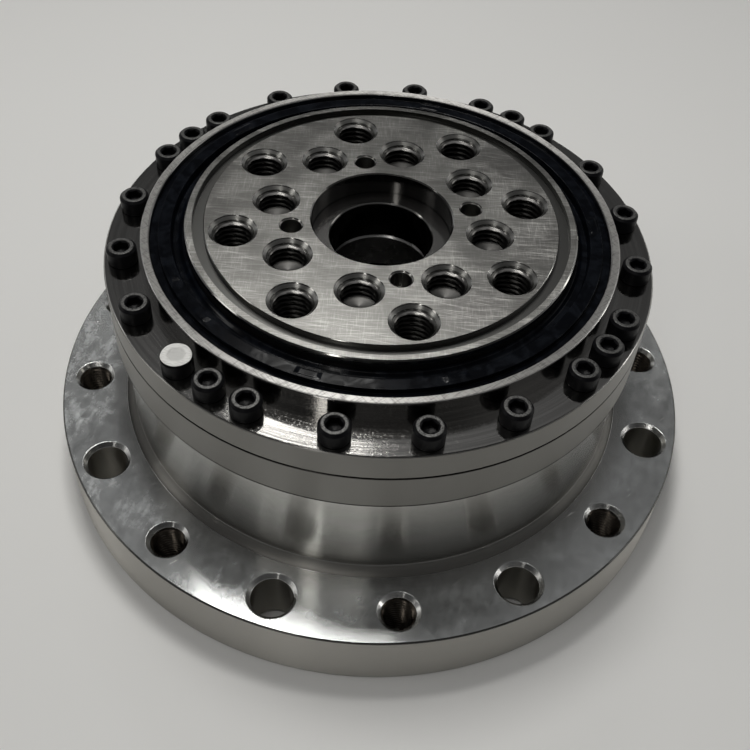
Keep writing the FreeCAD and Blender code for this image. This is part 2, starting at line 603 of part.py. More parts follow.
# Output flange: disc, face groove, bright rim, seal land and the bearing's inner raceway.
output_flange = turned("output_flange", [
    ("bore_r", "output_bottom"), ("output_circle_r", "output_bottom"), ("output_circle_r", "ring_bottom"),
    ("race_in_r", "ring_bottom"), ("race_in_r", "roller_z - vee_half"), ("vee_in_r", "roller_z - race_relief"),
    ("vee_in_r", "roller_z + race_relief"), ("race_in_r", "roller_z + vee_half"), ("race_in_r", "land_floor"),
    ("land_r", "land_floor"), ("land_r", "face - edge_break"), ("land_r - edge_break", "face"),
    ("face_groove_r", "face"), ("face_groove_r", "groove_floor"), ("disc_r", "groove_floor"),
    ("disc_r", "face - edge_break / 2"), ("disc_r - edge_break / 2", "face"), ("recess_r + edge_break", "face"),
    ("recess_r", "face - edge_break"), ("recess_r", "recess_floor"), ("bore_r + edge_break", "recess_floor"),
    ("bore_r", "recess_floor - edge_break")])
drilled(output_flange, "outer_tapped_hole", "output_circle_r",
        blind_hole("output_thread_r", "face", "face - output_thread_depth", "thread_chamfer"), OUTPUT_HOLES,
        "output_clock_angle")
drilled(output_flange, "inner_tapped_hole", "inner_circle_r",
        through_hole("output_thread_r", "output_bottom", "face", "thread_chamfer"), OUTPUT_HOLES,
        f"output_clock_angle + 180 / {OUTPUT_HOLES}")
drilled(output_flange, "dowel_hole", "dowel_circle_r",
        blind_hole("dowel_dia / 2", "face", "face - dowel_depth", "dowel_break"), DOWEL_HOLES,
        f"output_clock_angle + 180 / {DOWEL_HOLES}")

# Oil seal: rubber with a raised band and two lips, its steel case and the garter spring behind the main lip.
LIP_R = "land_r + seal_play"
LIP_BACK_R = "land_r + seal_play + lip_thick"
BAND_OUT_R = "seal_bore_r - seal_groove_width"
BAND_IN_R = "seal_bore_r - seal_groove_width - seal_band_width"
CASE_OUT_R = "seal_bore_r - seal_cover"
CASE_IN_R = "land_r + seal_play + lip_thick * 3"
oil_seal = turned("oil_seal", [
    ("seal_bore_r", "seal_floor"), ("seal_bore_r", "seal_groove_floor"), (BAND_OUT_R, "seal_groove_floor"),
    (BAND_OUT_R, "seal_top - edge_break / 2"), (f"{BAND_OUT_R} - edge_break / 2", "seal_top"),
    (f"{BAND_IN_R} + edge_break / 2", "seal_top"), (BAND_IN_R, "seal_top - edge_break / 2"),
    (f"{BAND_IN_R} - edge_break", "seal_dish_floor"), (LIP_BACK_R, "seal_dish_floor"),
    (f"{LIP_R} + edge_break", "seal_dish_floor + lip_thick"), (LIP_R, "seal_dish_floor + lip_thick"),
    (LIP_R, "seal_dish_floor + lip_thick / 2"), (f"{LIP_R} + lip_thick / 2", "case_floor"),
    (LIP_R, "case_floor - lip_thick"), (LIP_R, "case_floor - lip_thick * 3 / 2"),
    (f"{LIP_R} + lip_thick / 2", "seal_floor + edge_break"), (LIP_BACK_R, "seal_floor + edge_break"),
    (LIP_BACK_R, "case_floor"), (CASE_IN_R, "case_floor"), (CASE_IN_R, "case_top"), (CASE_OUT_R, "case_top"),
    (CASE_OUT_R, "seal_floor")])
seal_case = turned("seal_case", [
    (CASE_OUT_R, "seal_floor"), (CASE_OUT_R, "case_top"), (CASE_IN_R, "case_top"), (CASE_IN_R, "case_floor"),
    (f"{CASE_OUT_R} - case_wall", "case_floor"), (f"{CASE_OUT_R} - case_wall", "seal_floor")])
garter_spring = primitive("Torus", "garter_spring", Radius1=f"{LIP_BACK_R} + garter_wire_dia / 2",
                          Radius2="garter_wire_dia / 2", Placement__Base__z="case_floor - lip_thick")

# Sealing rings in the grooves of the circular spline and the base.
upper_o_ring = primitive("Torus", "upper_o_ring", Radius1="o_ring_r", Radius2="o_ring_dia / 2",
                         Placement__Base__z="seam - o_ring_dia / 2")
lower_o_ring = primitive("Torus", "lower_o_ring", Radius1="o_ring_r", Radius2="o_ring_dia / 2",
                         Placement__Base__z="neck_top - o_ring_dia / 2")

# Housing screws.
mounting_screw = socket_screw("mounting_screw", "screw_dia", "screw_head_dia", "screw_head_height",
                              "mounting_screw_length", "screw_socket", "screw_socket_depth")
mounting_screws = around("mounting_screws", mounting_screw, number("screw_circle_r"), number("seat"),
                         spread(MOUNTING_SCREWS, number("screw_group_angle")))
assembly_screw = socket_screw("assembly_screw", "screw_dia", "screw_head_dia", "screw_head_height",
                              "assembly_screw_length", "screw_socket", "screw_socket_depth")
assembly_screws = around("assembly_screws", assembly_screw, number("screw_circle_r"), number("seat"),
                         spread(SCREW_GROUPS))


def circle_wire(radius, height):
    return Part.Wire([Part.Circle(FreeCAD.Vector(0, 0, height), FreeCAD.Vector(0, 0, 1), radius).toShape()])


def oval_wire(radius, height):
    ovality = number("ovality")
    oval = Part.Ellipse(FreeCAD.Vector(0, 0, height), radius * (1 + ovality), radius * (1 - ovality))
    return Part.Wire([oval.toShape()])


def turned_shape(corners):
    """A solid turned about the gear axis from (radius, height) numbers."""
    points = [FreeCAD.Vector(radius, 0, height) for radius, height in corners]
    face = Part.Face(Part.makePolygon(points + points[:1]))
    return face.revolve(FreeCAD.Vector(), FreeCAD.Vector(0, 0, 1), 360)


def cup_push(angle):
    """How far the oval plug moves the rim out and along at an angle from its long axis."""
    wave = number("wave")
    return wave * math.cos(2 * angle), -wave / 2 * math.sin(2 * angle)


def flexspline_shape():
    """Toothed oval rim, a wall that changes from oval to round, a rounded corner, a diaphragm and a boss."""
    rim_r = number("cup_rim_r")
    wall = number("cup_wall")
    end, rim_top = number("cup_end"), number("cup_rim_top")
    corner = number("cup_corner")
    floor = number("clamp_top")
    skin = number("diaphragm")
    corner_z = floor + skin - corner
    teeth = toothed_face(tooth_points(number("cup_pitch_r"), FLEXSPLINE_TEETH, 1, 0.0, cup_push), end)
    rim = teeth.extrude(FreeCAD.Vector(0, 0, rim_top - end))
    rim = rim.cut(Part.Face(oval_wire(rim_r, end)).extrude(FreeCAD.Vector(0, 0, rim_top - end)))
    outside = Part.makeLoft([oval_wire(rim_r + wall, rim_top), circle_wire(rim_r + wall, corner_z)], True, True)
    inside = Part.makeLoft([oval_wire(rim_r, rim_top), circle_wire(rim_r, corner_z)], True, True)
    boss_r, bore_r = number("cup_boss_r"), number("bore_r")
    top = number("output_bottom")
    turn = math.sqrt(0.5)
    inner_corner = corner - skin
    cap = turned_shape([
        (bore_r, floor), (rim_r - inner_corner, floor),
        (rim_r - inner_corner * (1 - turn), floor - inner_corner * (1 - turn)), (rim_r, corner_z),
        (rim_r + wall, corner_z), (rim_r + wall - corner * (1 - turn), floor + skin - corner * (1 - turn)),
        (rim_r + wall - corner, floor + skin), (boss_r, floor + skin), (boss_r, top), (bore_r, top)])
    cup = rim.fuse([outside.cut(inside), cap])
    bar = Part.makeCylinder(number("cup_hole_r"), top - floor, FreeCAD.Vector(number("inner_circle_r"), 0, floor))
    first = number("output_clock_angle") + 180.0 / OUTPUT_HOLES
    holes = [bar.rotated(FreeCAD.Vector(), FreeCAD.Vector(0, 0, 1), angle) for angle in spread(OUTPUT_HOLES, first)]
    return cup.cut(holes)


# Flexspline, its clamp ring and screws.
flexspline = shaped("flexspline", flexspline_shape())
clamp_ring = turned("clamp_ring", [
    ("bore_r", "cup_head_seat"), ("cup_boss_r", "cup_head_seat"), ("cup_boss_r", "clamp_top"),
    ("bore_r", "clamp_top")])
drilled(clamp_ring, "clamp_hole", "inner_circle_r",
        [("0", "cup_head_seat"), ("cup_hole_r", "cup_head_seat"), ("cup_hole_r", "clamp_top"), ("0", "clamp_top")],
        OUTPUT_HOLES, f"output_clock_angle + 180 / {OUTPUT_HOLES}")
flexspline_screw = socket_screw("flexspline_screw", "output_thread_dia", "cup_head_dia", "cup_head_height",
                                "cup_screw_length", "cup_socket", "cup_socket_depth")
UPSIDE_DOWN = FreeCAD.Rotation(FreeCAD.Vector(1, 0, 0), 180)
flexspline_screws = around("flexspline_screws", flexspline_screw, number("inner_circle_r"),
                           number("cup_head_seat"),
                           spread(OUTPUT_HOLES, number("output_clock_angle") + 180.0 / OUTPUT_HOLES),
                           lambda index: UPSIDE_DOWN)

# Flexible bearing, pressed oval on the plug.
RACE_BOTTOM = "bearing_z - bearing_width / 2"


def raceway(name):
    """The space that the balls sweep along the oval."""
    section = primitive("Circle", name + "_section", Radius="groove_r",
                        Placement__Base__x="ball_circle_r * (1 + ovality)", Placement__Base__z="bearing_z")
    section.Placement.Rotation = FreeCAD.Rotation(FreeCAD.Vector(1, 0, 0), 90)
    path = doc.addObject("Part::Sweep", name)
    path.Sections = [section]
    path.Spine = (oval_line(name + "_path", "ball_circle_r", "bearing_z"), ["Edge1"])
    path.Solid = True
    path.Frenet = True
    return path


bearing_inner_race = cut("bearing_inner_race",
                         oval_disc("inner_race_stock", "inner_shoulder_r", RACE_BOTTOM, "bearing_width"),
                         oval_disc("inner_race_bore", "plug_r", RACE_BOTTOM, "bearing_width"),
                         raceway("inner_raceway"))
bearing_outer_race = cut("bearing_outer_race",
                         oval_disc("outer_race_stock", "outer_race_r", RACE_BOTTOM, "bearing_width"),
                         oval_disc("outer_race_bore", "outer_shoulder_r", RACE_BOTTOM, "bearing_width"),
                         raceway("outer_raceway"))


def ball_spots():
    """Ball centres, evenly spaced around the oval."""
    radius, ovality = number("ball_circle_r"), number("ovality")
    turns = [math.radians(angle) for angle in spread(BEARING_BALLS)]
    return [FreeCAD.Vector(radius * (1 + ovality) * math.cos(turn), radius * (1 - ovality) * math.sin(turn),
                           number("bearing_z")) for turn in turns]


bearing_balls = shaped("bearing_balls", Part.makeCompound(
    [Part.makeSphere(number("ball_dia") / 2, spot) for spot in ball_spots()]))
ball_pockets = shaped("ball_pockets", Part.makeCompound(
    [Part.makeSphere(number("ball_dia / 2 + pocket_play"), spot) for spot in ball_spots()]))
SEPARATOR_BOTTOM = "bearing_z - separator_below"
SEPARATOR_HEIGHT = "separator_below + separator_above"
separator_ring = cut("separator_ring",
                     oval_disc("separator_stock", "ball_circle_r + separator_wall / 2", SEPARATOR_BOTTOM,
                               SEPARATOR_HEIGHT),
                     oval_disc("separator_bore", "ball_circle_r - separator_wall / 2", SEPARATOR_BOTTOM,
                               SEPARATOR_HEIGHT))
ball_separator = cut("ball_separator", separator_ring, ball_pockets)

# Oval plug with the recess, lugs and ring groove of the floating coupling.
LUG_LENGTH = "insert_r - lug_in_r"
LUG_START = "lug_in_r + lug_play"


def lug_pair(name, along_x, bottom, height):
    """Two lugs on opposite sides of the axis."""
    lugs = []
    for side, suffix in ((1, "_front"), (-1, "_back")):
        near = LUG_START if side > 0 else f"0 - ({LUG_START}) - ({LUG_LENGTH})"
        if along_x:
            lugs.append(block(name + suffix, LUG_LENGTH, "lug_width", height, (near, "0 - lug_width / 2", bottom)))
        else:
            lugs.append(block(name + suffix, "lug_width", LUG_LENGTH, height, ("0 - lug_width / 2", near, bottom)))
    return lugs


plug_turned = cut("plug_turned", oval_disc("plug_stock", "plug_r", "plug_bottom", "plug_width"),
                  cylinder("plug_bore", "hub_r + hub_play", "plug_bottom", "plug_width"),
                  cylinder("plug_recess", "plug_recess_r", "coupling_floor", "plug_recess_depth"),
                  cylinder("plug_snap_groove", "plug_recess_r + snap_depth", "snap_z", "snap_thick * 1.1"))
generator_plug = fused("generator_plug", plug_turned,
                       *lug_pair("plug_lug", True, "coupling_floor", "insert_thick"))


def rub_washer(label, bottom):
    return turned(label, [("washer_in_r", bottom), ("washer_out_r", bottom),
                          ("washer_out_r", f"{bottom} + washer_thick"), ("washer_in_r", f"{bottom} + washer_thick")])


lower_rub_washer = rub_washer("lower_rub_washer", "coupling_floor")
upper_rub_washer = rub_washer("upper_rub_washer", "upper_washer_z")
SLOT_WIDTH = "lug_width + lug_play * 2"
slots = [block("coupling_slot_x", "insert_r * 2", SLOT_WIDTH, "insert_thick",
               ("0 - insert_r", f"0 - ({SLOT_WIDTH}) / 2", "insert_z")),
         block("coupling_slot_y", SLOT_WIDTH, "insert_r * 2", "insert_thick",
               (f"0 - ({SLOT_WIDTH}) / 2", "0 - insert_r", "insert_z"))]
slot_cross = cut("coupling_slot_cross", fused("coupling_slots", *slots),
                 cylinder("coupling_slot_core", "lug_in_r", "insert_z", "insert_thick"))
coupling_insert = cut("coupling_insert", cylinder("insert_stock", "insert_r", "insert_z", "insert_thick"),
                      cylinder("insert_bore", "washer_in_r", "insert_z", "insert_thick"), slot_cross)

# Input hub: flange with two lugs, boss and collar for the motor's shaft, keyway and set screws.
hub_turned = turned("hub_turned", [
    ("shaft_dia / 2 + edge_break", "hub_end"), ("collar_r - edge_break", "hub_end"),
    ("collar_r", "hub_end + edge_break"), ("collar_r", "collar_top"), ("hub_r", "collar_top"),
    ("hub_r", "hub_flange_z"), ("insert_r", "hub_flange_z"), ("insert_r", "hub_top"),
    ("shaft_dia / 2", "hub_top"), ("shaft_dia / 2", "hub_end + edge_break")])
hub_with_lugs = fused("hub_with_lugs", hub_turned,
                      *lug_pair("hub_lug", False, "insert_z + washer_thick", "insert_thick"))
keyway = block("keyway", "shaft_dia / 2 + key_depth", "key_width", "hub_top - hub_end",
               ("0", "0 - key_width / 2", "hub_end"))
SET_SCREW_Z = "hub_end + set_screw_height"


def set_screw_bar(name, radius, turn):
    """A radial bar in the collar, a quarter turn or a half turn from the keyway."""
    bar = primitive("Cylinder", name, Radius=radius, Height="collar_r", Placement__Base__z=SET_SCREW_Z)
    bar.Placement.Rotation = (FreeCAD.Rotation(FreeCAD.Vector(0, 0, 1), turn)
                              * FreeCAD.Rotation(FreeCAD.Vector(0, 1, 0), 90))
    return bar


SET_SCREW_TURNS = (90.0, 180.0)
input_hub = cut("input_hub", hub_with_lugs, keyway,
                *[set_screw_bar(f"set_screw_hole_{index}", "set_screw_dia / 2", turn)
                  for index, turn in enumerate(SET_SCREW_TURNS)])
SET_SCREW_LENGTH = "collar_wall - edge_break * 2"
set_screw = turned("set_screw", [
    ("0", "0"), ("set_screw_dia / 2 - thread_play", "0"), ("set_screw_dia / 2 - thread_play", SET_SCREW_LENGTH),
    ("0", SET_SCREW_LENGTH)])
set_socket = set_screw.newObject("PartDesign::SubtractivePrism", "set_screw_hexagon")
set_socket.Polygon = 6
set_socket.AttachmentSupport = [(origin(set_screw, "XY_Plane"), "")]
set_socket.MapMode = "FlatFace"
bind(set_socket, Circumradius="set_screw_socket / sqrt(3)", Height=f"({SET_SCREW_LENGTH}) / 2",
     AttachmentOffset__Base__z=f"({SET_SCREW_LENGTH}) / 2")
set_screw.Tip = set_socket
doc.recompute()
OUTWARD = FreeCAD.Rotation(FreeCAD.Vector(0, 1, 0), 90)
hub_set_screws = around("hub_set_screws", set_screw, number("shaft_dia / 2 + edge_break"), number(SET_SCREW_Z),
                        SET_SCREW_TURNS, lambda index: OUTWARD)

# Snap ring that keeps the coupling in the plug.
snap_hoop = turned("snap_hoop", [
    ("plug_recess_r + snap_depth - snap_width", "snap_z"), ("plug_recess_r + snap_depth", "snap_z"),
    ("plug_recess_r + snap_depth", "snap_z + snap_thick"),
    ("plug_recess_r + snap_depth - snap_width", "snap_z + snap_thick")])
SNAP_OPENING = "plug_recess_r * 2 * sin(snap_opening_angle / 2)"
snap_ring = cut("snap_ring", snap_hoop, block("snap_opening", "plug_recess_r * 2", SNAP_OPENING, "snap_thick",
                                              ("0", f"0 - ({SNAP_OPENING}) / 2", "snap_z")))

SUBPARTS = [
    base_flange, circular_spline, bearing_outer_ring, filler_plug, filler_pin, oil_seal, seal_case, garter_spring,
    upper_o_ring, lower_o_ring, mounting_screws, assembly_screws, cross_rollers, roller_spacers, output_flange,
    flexspline, clamp_ring, flexspline_screws, generator_plug, bearing_inner_race, bearing_outer_race,
    bearing_balls, ball_separator, coupling_insert, lower_rub_washer, upper_rub_washer, input_hub, hub_set_screws,
    snap_ring]

doc.recompute()
for feature in doc.Objects:
    if "Invalid" in feature.State or "Error" in feature.State:
        raise RuntimeError(f"{feature.Label} failed: {feature.State}")
for subpart in SUBPARTS:
    if subpart.Shape.isNull() or not subpart.Shape.isValid():
        raise RuntimeError(f"{subpart.Label} has no valid shape")
os.makedirs("parts", exist_ok=True)
for subpart in SUBPARTS:
    subpart.Shape.exportStep(f"parts/{subpart.Label}.step")
    print(f"{subpart.Label}: {len(subpart.Shape.Solids)} solids, {subpart.Shape.Volume / 1000:.3f} cm3")
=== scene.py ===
"""Looks of a strain wave gearbox on a round base flange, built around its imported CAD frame.

Lengths in the shape functions are millimetres, and meshes are in metres.
"""

import json
import math

import bmesh
import bpy
import numpy as np
from mathutils import Matrix, Vector


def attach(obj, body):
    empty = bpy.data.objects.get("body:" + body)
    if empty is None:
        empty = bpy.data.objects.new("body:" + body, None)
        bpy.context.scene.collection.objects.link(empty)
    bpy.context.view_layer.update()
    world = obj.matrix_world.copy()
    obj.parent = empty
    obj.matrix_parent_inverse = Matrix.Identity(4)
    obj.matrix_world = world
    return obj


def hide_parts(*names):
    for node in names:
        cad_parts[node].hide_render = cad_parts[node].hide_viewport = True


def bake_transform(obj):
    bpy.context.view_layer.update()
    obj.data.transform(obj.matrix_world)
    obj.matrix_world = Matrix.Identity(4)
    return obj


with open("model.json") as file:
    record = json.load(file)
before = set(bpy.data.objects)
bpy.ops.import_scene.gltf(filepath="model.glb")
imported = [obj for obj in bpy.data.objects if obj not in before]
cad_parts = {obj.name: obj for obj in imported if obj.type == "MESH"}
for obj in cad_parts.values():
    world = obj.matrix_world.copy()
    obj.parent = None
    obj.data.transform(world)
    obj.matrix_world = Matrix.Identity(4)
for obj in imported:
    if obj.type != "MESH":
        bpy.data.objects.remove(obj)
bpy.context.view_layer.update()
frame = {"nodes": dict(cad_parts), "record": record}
nodes = frame["nodes"]
MM = 0.001
TURN = 2 * math.pi

# Heights and radii of the housing and the output flange.
BASE_TOP = 20.0
NECK_TOP = 54.0
SEAM_Z = 66.4
SEAT_Z = 75.2
LEDGE_Z = 77.5
BOSS_TOP = 82.4
FACE_Z = 84.5
BASE_R = 101.0
RIM_R = 80.0
NECK_R = 78.0
NECK_FILLET = 2.4
FOOT_R = NECK_R + NECK_FILLET
PILOT_R = 55.0
DISC_R = 51.1
RECESS_R = 20.5
BORE_R = 15.0
EDGE_BREAK = 0.4
BASE_CHAMFER = 1.2

# Screws and holes: a circle is its radius, first angle in degrees and count, a thread its radius and pitch.
SCREW_CIRCLE = 74.5
SCREW_STEP = 9.0
SCREW_TIP = 78.3
HEAD_HEIGHT = 5.0
MARKED_SCREW_ANGLE = -99.0
PAINTED_HEX = 4.6
OUTPUT_CLOCK = 2.04
BASE_CLOCK = 40.76
OUTER_HOLES = (43.0, OUTPUT_CLOCK, 8)
INNER_HOLES = (31.5, OUTPUT_CLOCK + 22.5, 8)
BASE_TAPPED = (91.25, BASE_CLOCK, 8)
MOTOR_TAPPED = (72.5, 45.0, 4)
OUTPUT_THREAD = (6.0, 1.75)
BASE_THREAD = (5.0, 1.25)
MOTOR_THREAD = (4.0, 1.25)
BASE_CLEARANCE_R = 6.0
BLIND_END = 70.5
MOTOR_END = 15.0

# The sides on which the base's film is thicker and the output's face is painted brighter, a painted glare.
FILM_SIDE = math.radians(205)
PAINTED_GLARE_SIDE = math.radians(-17)


# Shapes


def around(radius, first, count):
    """Points on a circle: radius times (cos, sin) of first + k / count turns."""
    angles = np.radians(first) + np.arange(count) * TURN / count
    return radius * np.column_stack([np.cos(angles), np.sin(angles)])


def grid_faces(rows, columns, close_rows=False, close_columns=True):
    """Quads of a grid whose columns close on themselves unless told not to, and whose rows may."""
    row = np.arange(rows if close_rows else rows - 1)[:, None]
    column = np.arange(columns if close_columns else columns - 1)[None, :]
    below, beside = (row + 1) % rows, (column + 1) % columns
    return np.stack([row * columns + column, row * columns + beside, below * columns + beside,
                     below * columns + column], axis=-1).reshape(-1, 4)


def joined(*grids):
    """Several grids as one: points stacked, faces counted on."""
    starts = np.cumsum([0] + [len(points) for points, faces in grids[:-1]])
    return (np.concatenate([points for points, faces in grids]),
            np.concatenate([faces + start for start, (points, faces) in zip(starts, grids)]))


def copies(points, faces, turns=0.0, spots=((0.0, 0.0),)):
    """Copies of a grid, each turned about Z by its angle a and then moved to its spot, with faces counted on.

    A point goes to (x cos a - y sin a, x sin a + y cos a, z) plus the spot's (x, y).
    """
    turns, aside, ahead = np.broadcast_arrays(turns, *np.transpose(spots))
    c, s = np.cos(turns)[:, None], np.sin(turns)[:, None]
    x, y, z = points.T
    moved = np.stack([c * x - s * y + aside[:, None], s * x + c * y + ahead[:, None], z + 0 * c], axis=-1)
    counted = faces[None] + len(points) * np.arange(len(turns))[:, None, None]
    return moved.reshape(-1, 3), counted.reshape(-1, 4)


def piece(name, points, faces, finish, sharp=35.0):
    """A mesh object from points in millimetres and quads, welded, with edges over an angle kept sharp."""
    weld = 1e-7
    mesh = bpy.data.meshes.new(name)
    mesh.from_pydata((points * MM).tolist(), [], faces.tolist())
    work = bmesh.new()
    work.from_mesh(mesh)
    bmesh.ops.remove_doubles(work, verts=work.verts, dist=weld)
    bmesh.ops.dissolve_degenerate(work, edges=work.edges, dist=weld)
    bmesh.ops.recalc_face_normals(work, faces=work.faces)
    work.to_mesh(mesh)
    work.free()
    mesh.polygons.foreach_set("use_smooth", np.ones(len(mesh.polygons), bool))
    mesh.set_sharp_from_angle(angle=math.radians(sharp))
    mesh.materials.append(finish)
    made = bpy.data.objects.new(name, mesh)
    bpy.context.scene.collection.objects.link(made)
    return made


def rounded(corners, steps=5):
    """An open outline with rounded corners.

    Each corner (x, y, rounding) becomes the parabola (1-t)^2 a + 2t(1-t) corner + t^2 b between the points a
    and b that lie its rounding before and after it. One more point half a rounding further on either side
    keeps the long faces beside it flat in the light.
    """
    corners = np.array(corners, float)
    point, rounding = corners[:, :2], corners[:, 2:]
    toward = np.diff(point, axis=0)
    toward /= np.linalg.norm(toward, axis=1, keepdims=True)
    into = rounding * np.vstack([toward[:1], toward])
    out = rounding * np.vstack([toward, toward[-1:]])
    t = np.linspace(0, 1, steps)[None, :, None]
    curve = ((1 - t) ** 2 * (point - into)[:, None] + 2 * t * (1 - t) * point[:, None]
             + t ** 2 * (point + out)[:, None])
    line = np.concatenate([(point - 1.5 * into)[:, None], curve, (point + 1.5 * out)[:, None]], axis=1)
    line = line.reshape(-1, 2)
    keep = np.r_[True, np.linalg.norm(np.diff(line, axis=0), axis=1) > 1e-6]
    return line[keep]


def turned(outline, columns, start=0.0):
    """An outline of (radius, height) turned about Z: (radius cos a, radius sin a, height)."""
    angle = np.radians(start) + np.arange(columns) * TURN / columns
    radius, height = outline[:, :1], outline[:, 1:]
    return np.stack([radius * np.cos(angle), radius * np.sin(angle), height + 0 * angle], axis=-1)


def drilled_sector(first, columns, step, inner, outer, spot, profile, reach_under=False, side=14):
    """One sector of a flat ring with a hole in it, as a single grid.

    Columns follow the sector's outline: its inner arc, one side, its outer arc and the other side. Rows go
    from the outline to the hole's edge, outline + (edge - outline) * share, then down the hole's profile of
    (radius, height), where a point is the hole's middle + radius * the direction to the outline. A through
    hole's rows then go back out to the same outline on the underside.
    """
    along = np.radians(first + step * np.arange(columns))
    rise = inner + (outer - inner) * np.arange(side) / side
    end = np.radians(first + step * columns)
    angle = np.r_[along, 0 * rise + end, (end + along[0] - along), 0 * rise + along[0]]
    radius = np.r_[0 * along + inner, rise, 0 * along + outer, (inner + outer - rise)]
    outline = radius[:, None] * np.column_stack([np.cos(angle), np.sin(angle)])
    middle = spot[0] * np.array([math.cos(math.radians(spot[1])), math.sin(math.radians(spot[1]))])
    direction = outline - middle
    direction = direction / np.linalg.norm(direction, axis=1, keepdims=True)
    hole = middle + profile[:, :1, None] * direction[None]
    share = np.array([0.0, 0.4, 0.8])[:, None, None]
    rows = [outline + (hole[0] - outline) * share, hole]
    heights = [np.full(len(share), profile[0, 1]), profile[:, 1]]
    if reach_under:
        rows.append(outline + (hole[-1] - outline) * share[::-1])
        heights.append(np.full(len(share), profile[-1, 1]))
    flat = np.concatenate(rows)
    height = np.concatenate(heights)[:, None, None] + 0 * flat[..., :1]
    points = np.concatenate([flat, height], axis=-1)
    return points.reshape(-1, 3), grid_faces(len(points), len(angle))


def plain_sector(first, columns, step, inner, outer, height, rows=3):
    """One sector of a flat ring without a hole: radius by angle."""
    angle = np.radians(first + step * np.arange(columns + 1))[None]
    radius = np.linspace(inner, outer, rows)[:, None]
    points = np.stack([radius * np.cos(angle), radius * np.sin(angle), height + 0 * radius * angle], axis=-1)
    return points.reshape(-1, 3), grid_faces(rows, columns + 1, close_columns=False)


def base_flange():
    """The base: turned outlines joined by flat rings that are drilled sector by sector.

    All columns start at the same angle and are 0.9 degrees apart, so a sixteenth of the flange is 25 columns
    and a twentieth of the neck's top is 20. The neck's foot is the arc (r - f sin t, z - f cos t) about its
    middle, with t short of a quarter turn by a kink at either end. A ridge 0.06 high stands at each end, as a
    round-nosed tool leaves it.
    """
    columns = 400
    step, sixteenth, twentieth = 360 / columns, 360 / 16, 360 / 20
    start = BASE_CLOCK - sixteenth / 2
    guard, soft = 0.3, 0.12
    plate_in, plate_out = FOOT_R + 2 * guard, BASE_R - EDGE_BREAK - guard
    ring_in = PILOT_R + EDGE_BREAK
    side = rounded([(plate_out, BASE_TOP, 0), (BASE_R - EDGE_BREAK, BASE_TOP, soft),
                    (BASE_R, BASE_TOP - EDGE_BREAK, soft), (BASE_R, EDGE_BREAK, soft),
                    (BASE_R - EDGE_BREAK, 0, soft), (plate_out, 0, 0)])

    kink = math.radians(17)
    nose = NECK_FILLET / (math.cos(kink) - math.sin(kink))
    t = np.linspace(kink, math.pi / 2 - kink, 11)
    foot = np.column_stack([FOOT_R + nose * (math.sin(kink) - np.sin(t)),
                            BASE_TOP + nose * (math.cos(kink) - np.cos(t))])
    ridge = np.array([(0.42, 0), (0.32, 0), (0.24, 0.06), (0.12, 0.06), (0.04, 0)])
    outer_ridge = np.array([FOOT_R, BASE_TOP]) + ridge
    upper_ridge = np.array([NECK_R, BASE_TOP + NECK_FILLET]) + ridge[::-1, ::-1]
    neck = np.vstack([[(plate_in, BASE_TOP)], outer_ridge, foot, upper_ridge, [(NECK_R, NECK_TOP)]])

    groove_out, groove_in, groove_floor = 69.2, 66.8, 52.4
    bore, shelf, throat, register = 63.52, 28.0, 52.0, 6.0
    inside = np.array([(groove_out, NECK_TOP), (groove_out, groove_floor), (groove_in, groove_floor),
                       (groove_in, NECK_TOP), (bore + EDGE_BREAK, NECK_TOP), (bore, NECK_TOP - EDGE_BREAK),
                       (bore, shelf), (throat, shelf), (throat, register), (PILOT_R, register),
                       (PILOT_R, EDGE_BREAK), (ring_in, 0.0)])
    grids = [(turned(line, columns, start).reshape(-1, 3), grid_faces(len(line), columns))
             for line in (side, neck, inside)]

    def through(radius):
        mouth = radius + BASE_CHAMFER
        return rounded([(mouth + guard, BASE_TOP, 0), (mouth, BASE_TOP, soft),
                        (radius, BASE_TOP - BASE_CHAMFER, soft), (radius, BASE_CHAMFER, soft),
                        (mouth, 0, soft), (mouth + guard, 0, 0)], 4)

    eighths = np.radians(np.arange(8) * 45.0)
    for turn, radius in ((0.0, BASE_THREAD[0]), (sixteenth, BASE_CLEARANCE_R)):
        hole = (BASE_TAPPED[0], BASE_CLOCK + turn)
        sector = drilled_sector(start + turn, columns // 16, step, plate_in, plate_out, hole, through(radius),
                                reach_under=True)
        grids.append(copies(*sector, eighths))

    motor_r, motor_point = MOTOR_THREAD[0], 17.4
    motor_mouth = motor_r + BASE_CHAMFER
    motor = np.array([(motor_mouth + guard, 0.0), (motor_mouth, 0.0), (motor_r, BASE_CHAMFER),
                      (motor_r, MOTOR_END), (0.0, motor_point)])
    sector = drilled_sector(start, columns // 16, step, ring_in, plate_in, MOTOR_TAPPED[:2], motor)
    grids.append(copies(*sector, np.radians(np.arange(4) * 90.0)))
    between = [turn * sixteenth for turn in range(16) if turn % 4]
    sector = plain_sector(start, columns // 16, step, ring_in, plate_in, 0.0)
    grids.append(copies(*sector, np.radians(between)))

    tap_r, tap_end, tap_point, tap_guard = 2.5, 41.2, 39.7, 0.2
    tap_mouth = tap_r + EDGE_BREAK
    tapped = np.array([(tap_mouth + tap_guard, NECK_TOP), (tap_mouth, NECK_TOP),
                       (tap_r, NECK_TOP - EDGE_BREAK), (tap_r, tap_end), (0.0, tap_point)])
    screw_start, screw_angle = start + 7 * step, 5 * SCREW_STEP
    sector = drilled_sector(screw_start, columns // 20, step, groove_out, NECK_R, (SCREW_CIRCLE, screw_angle),
                            tapped, side=8)
    grids.append(copies(*sector, np.radians(np.arange(20) * twentieth)))
    return joined(*grids)


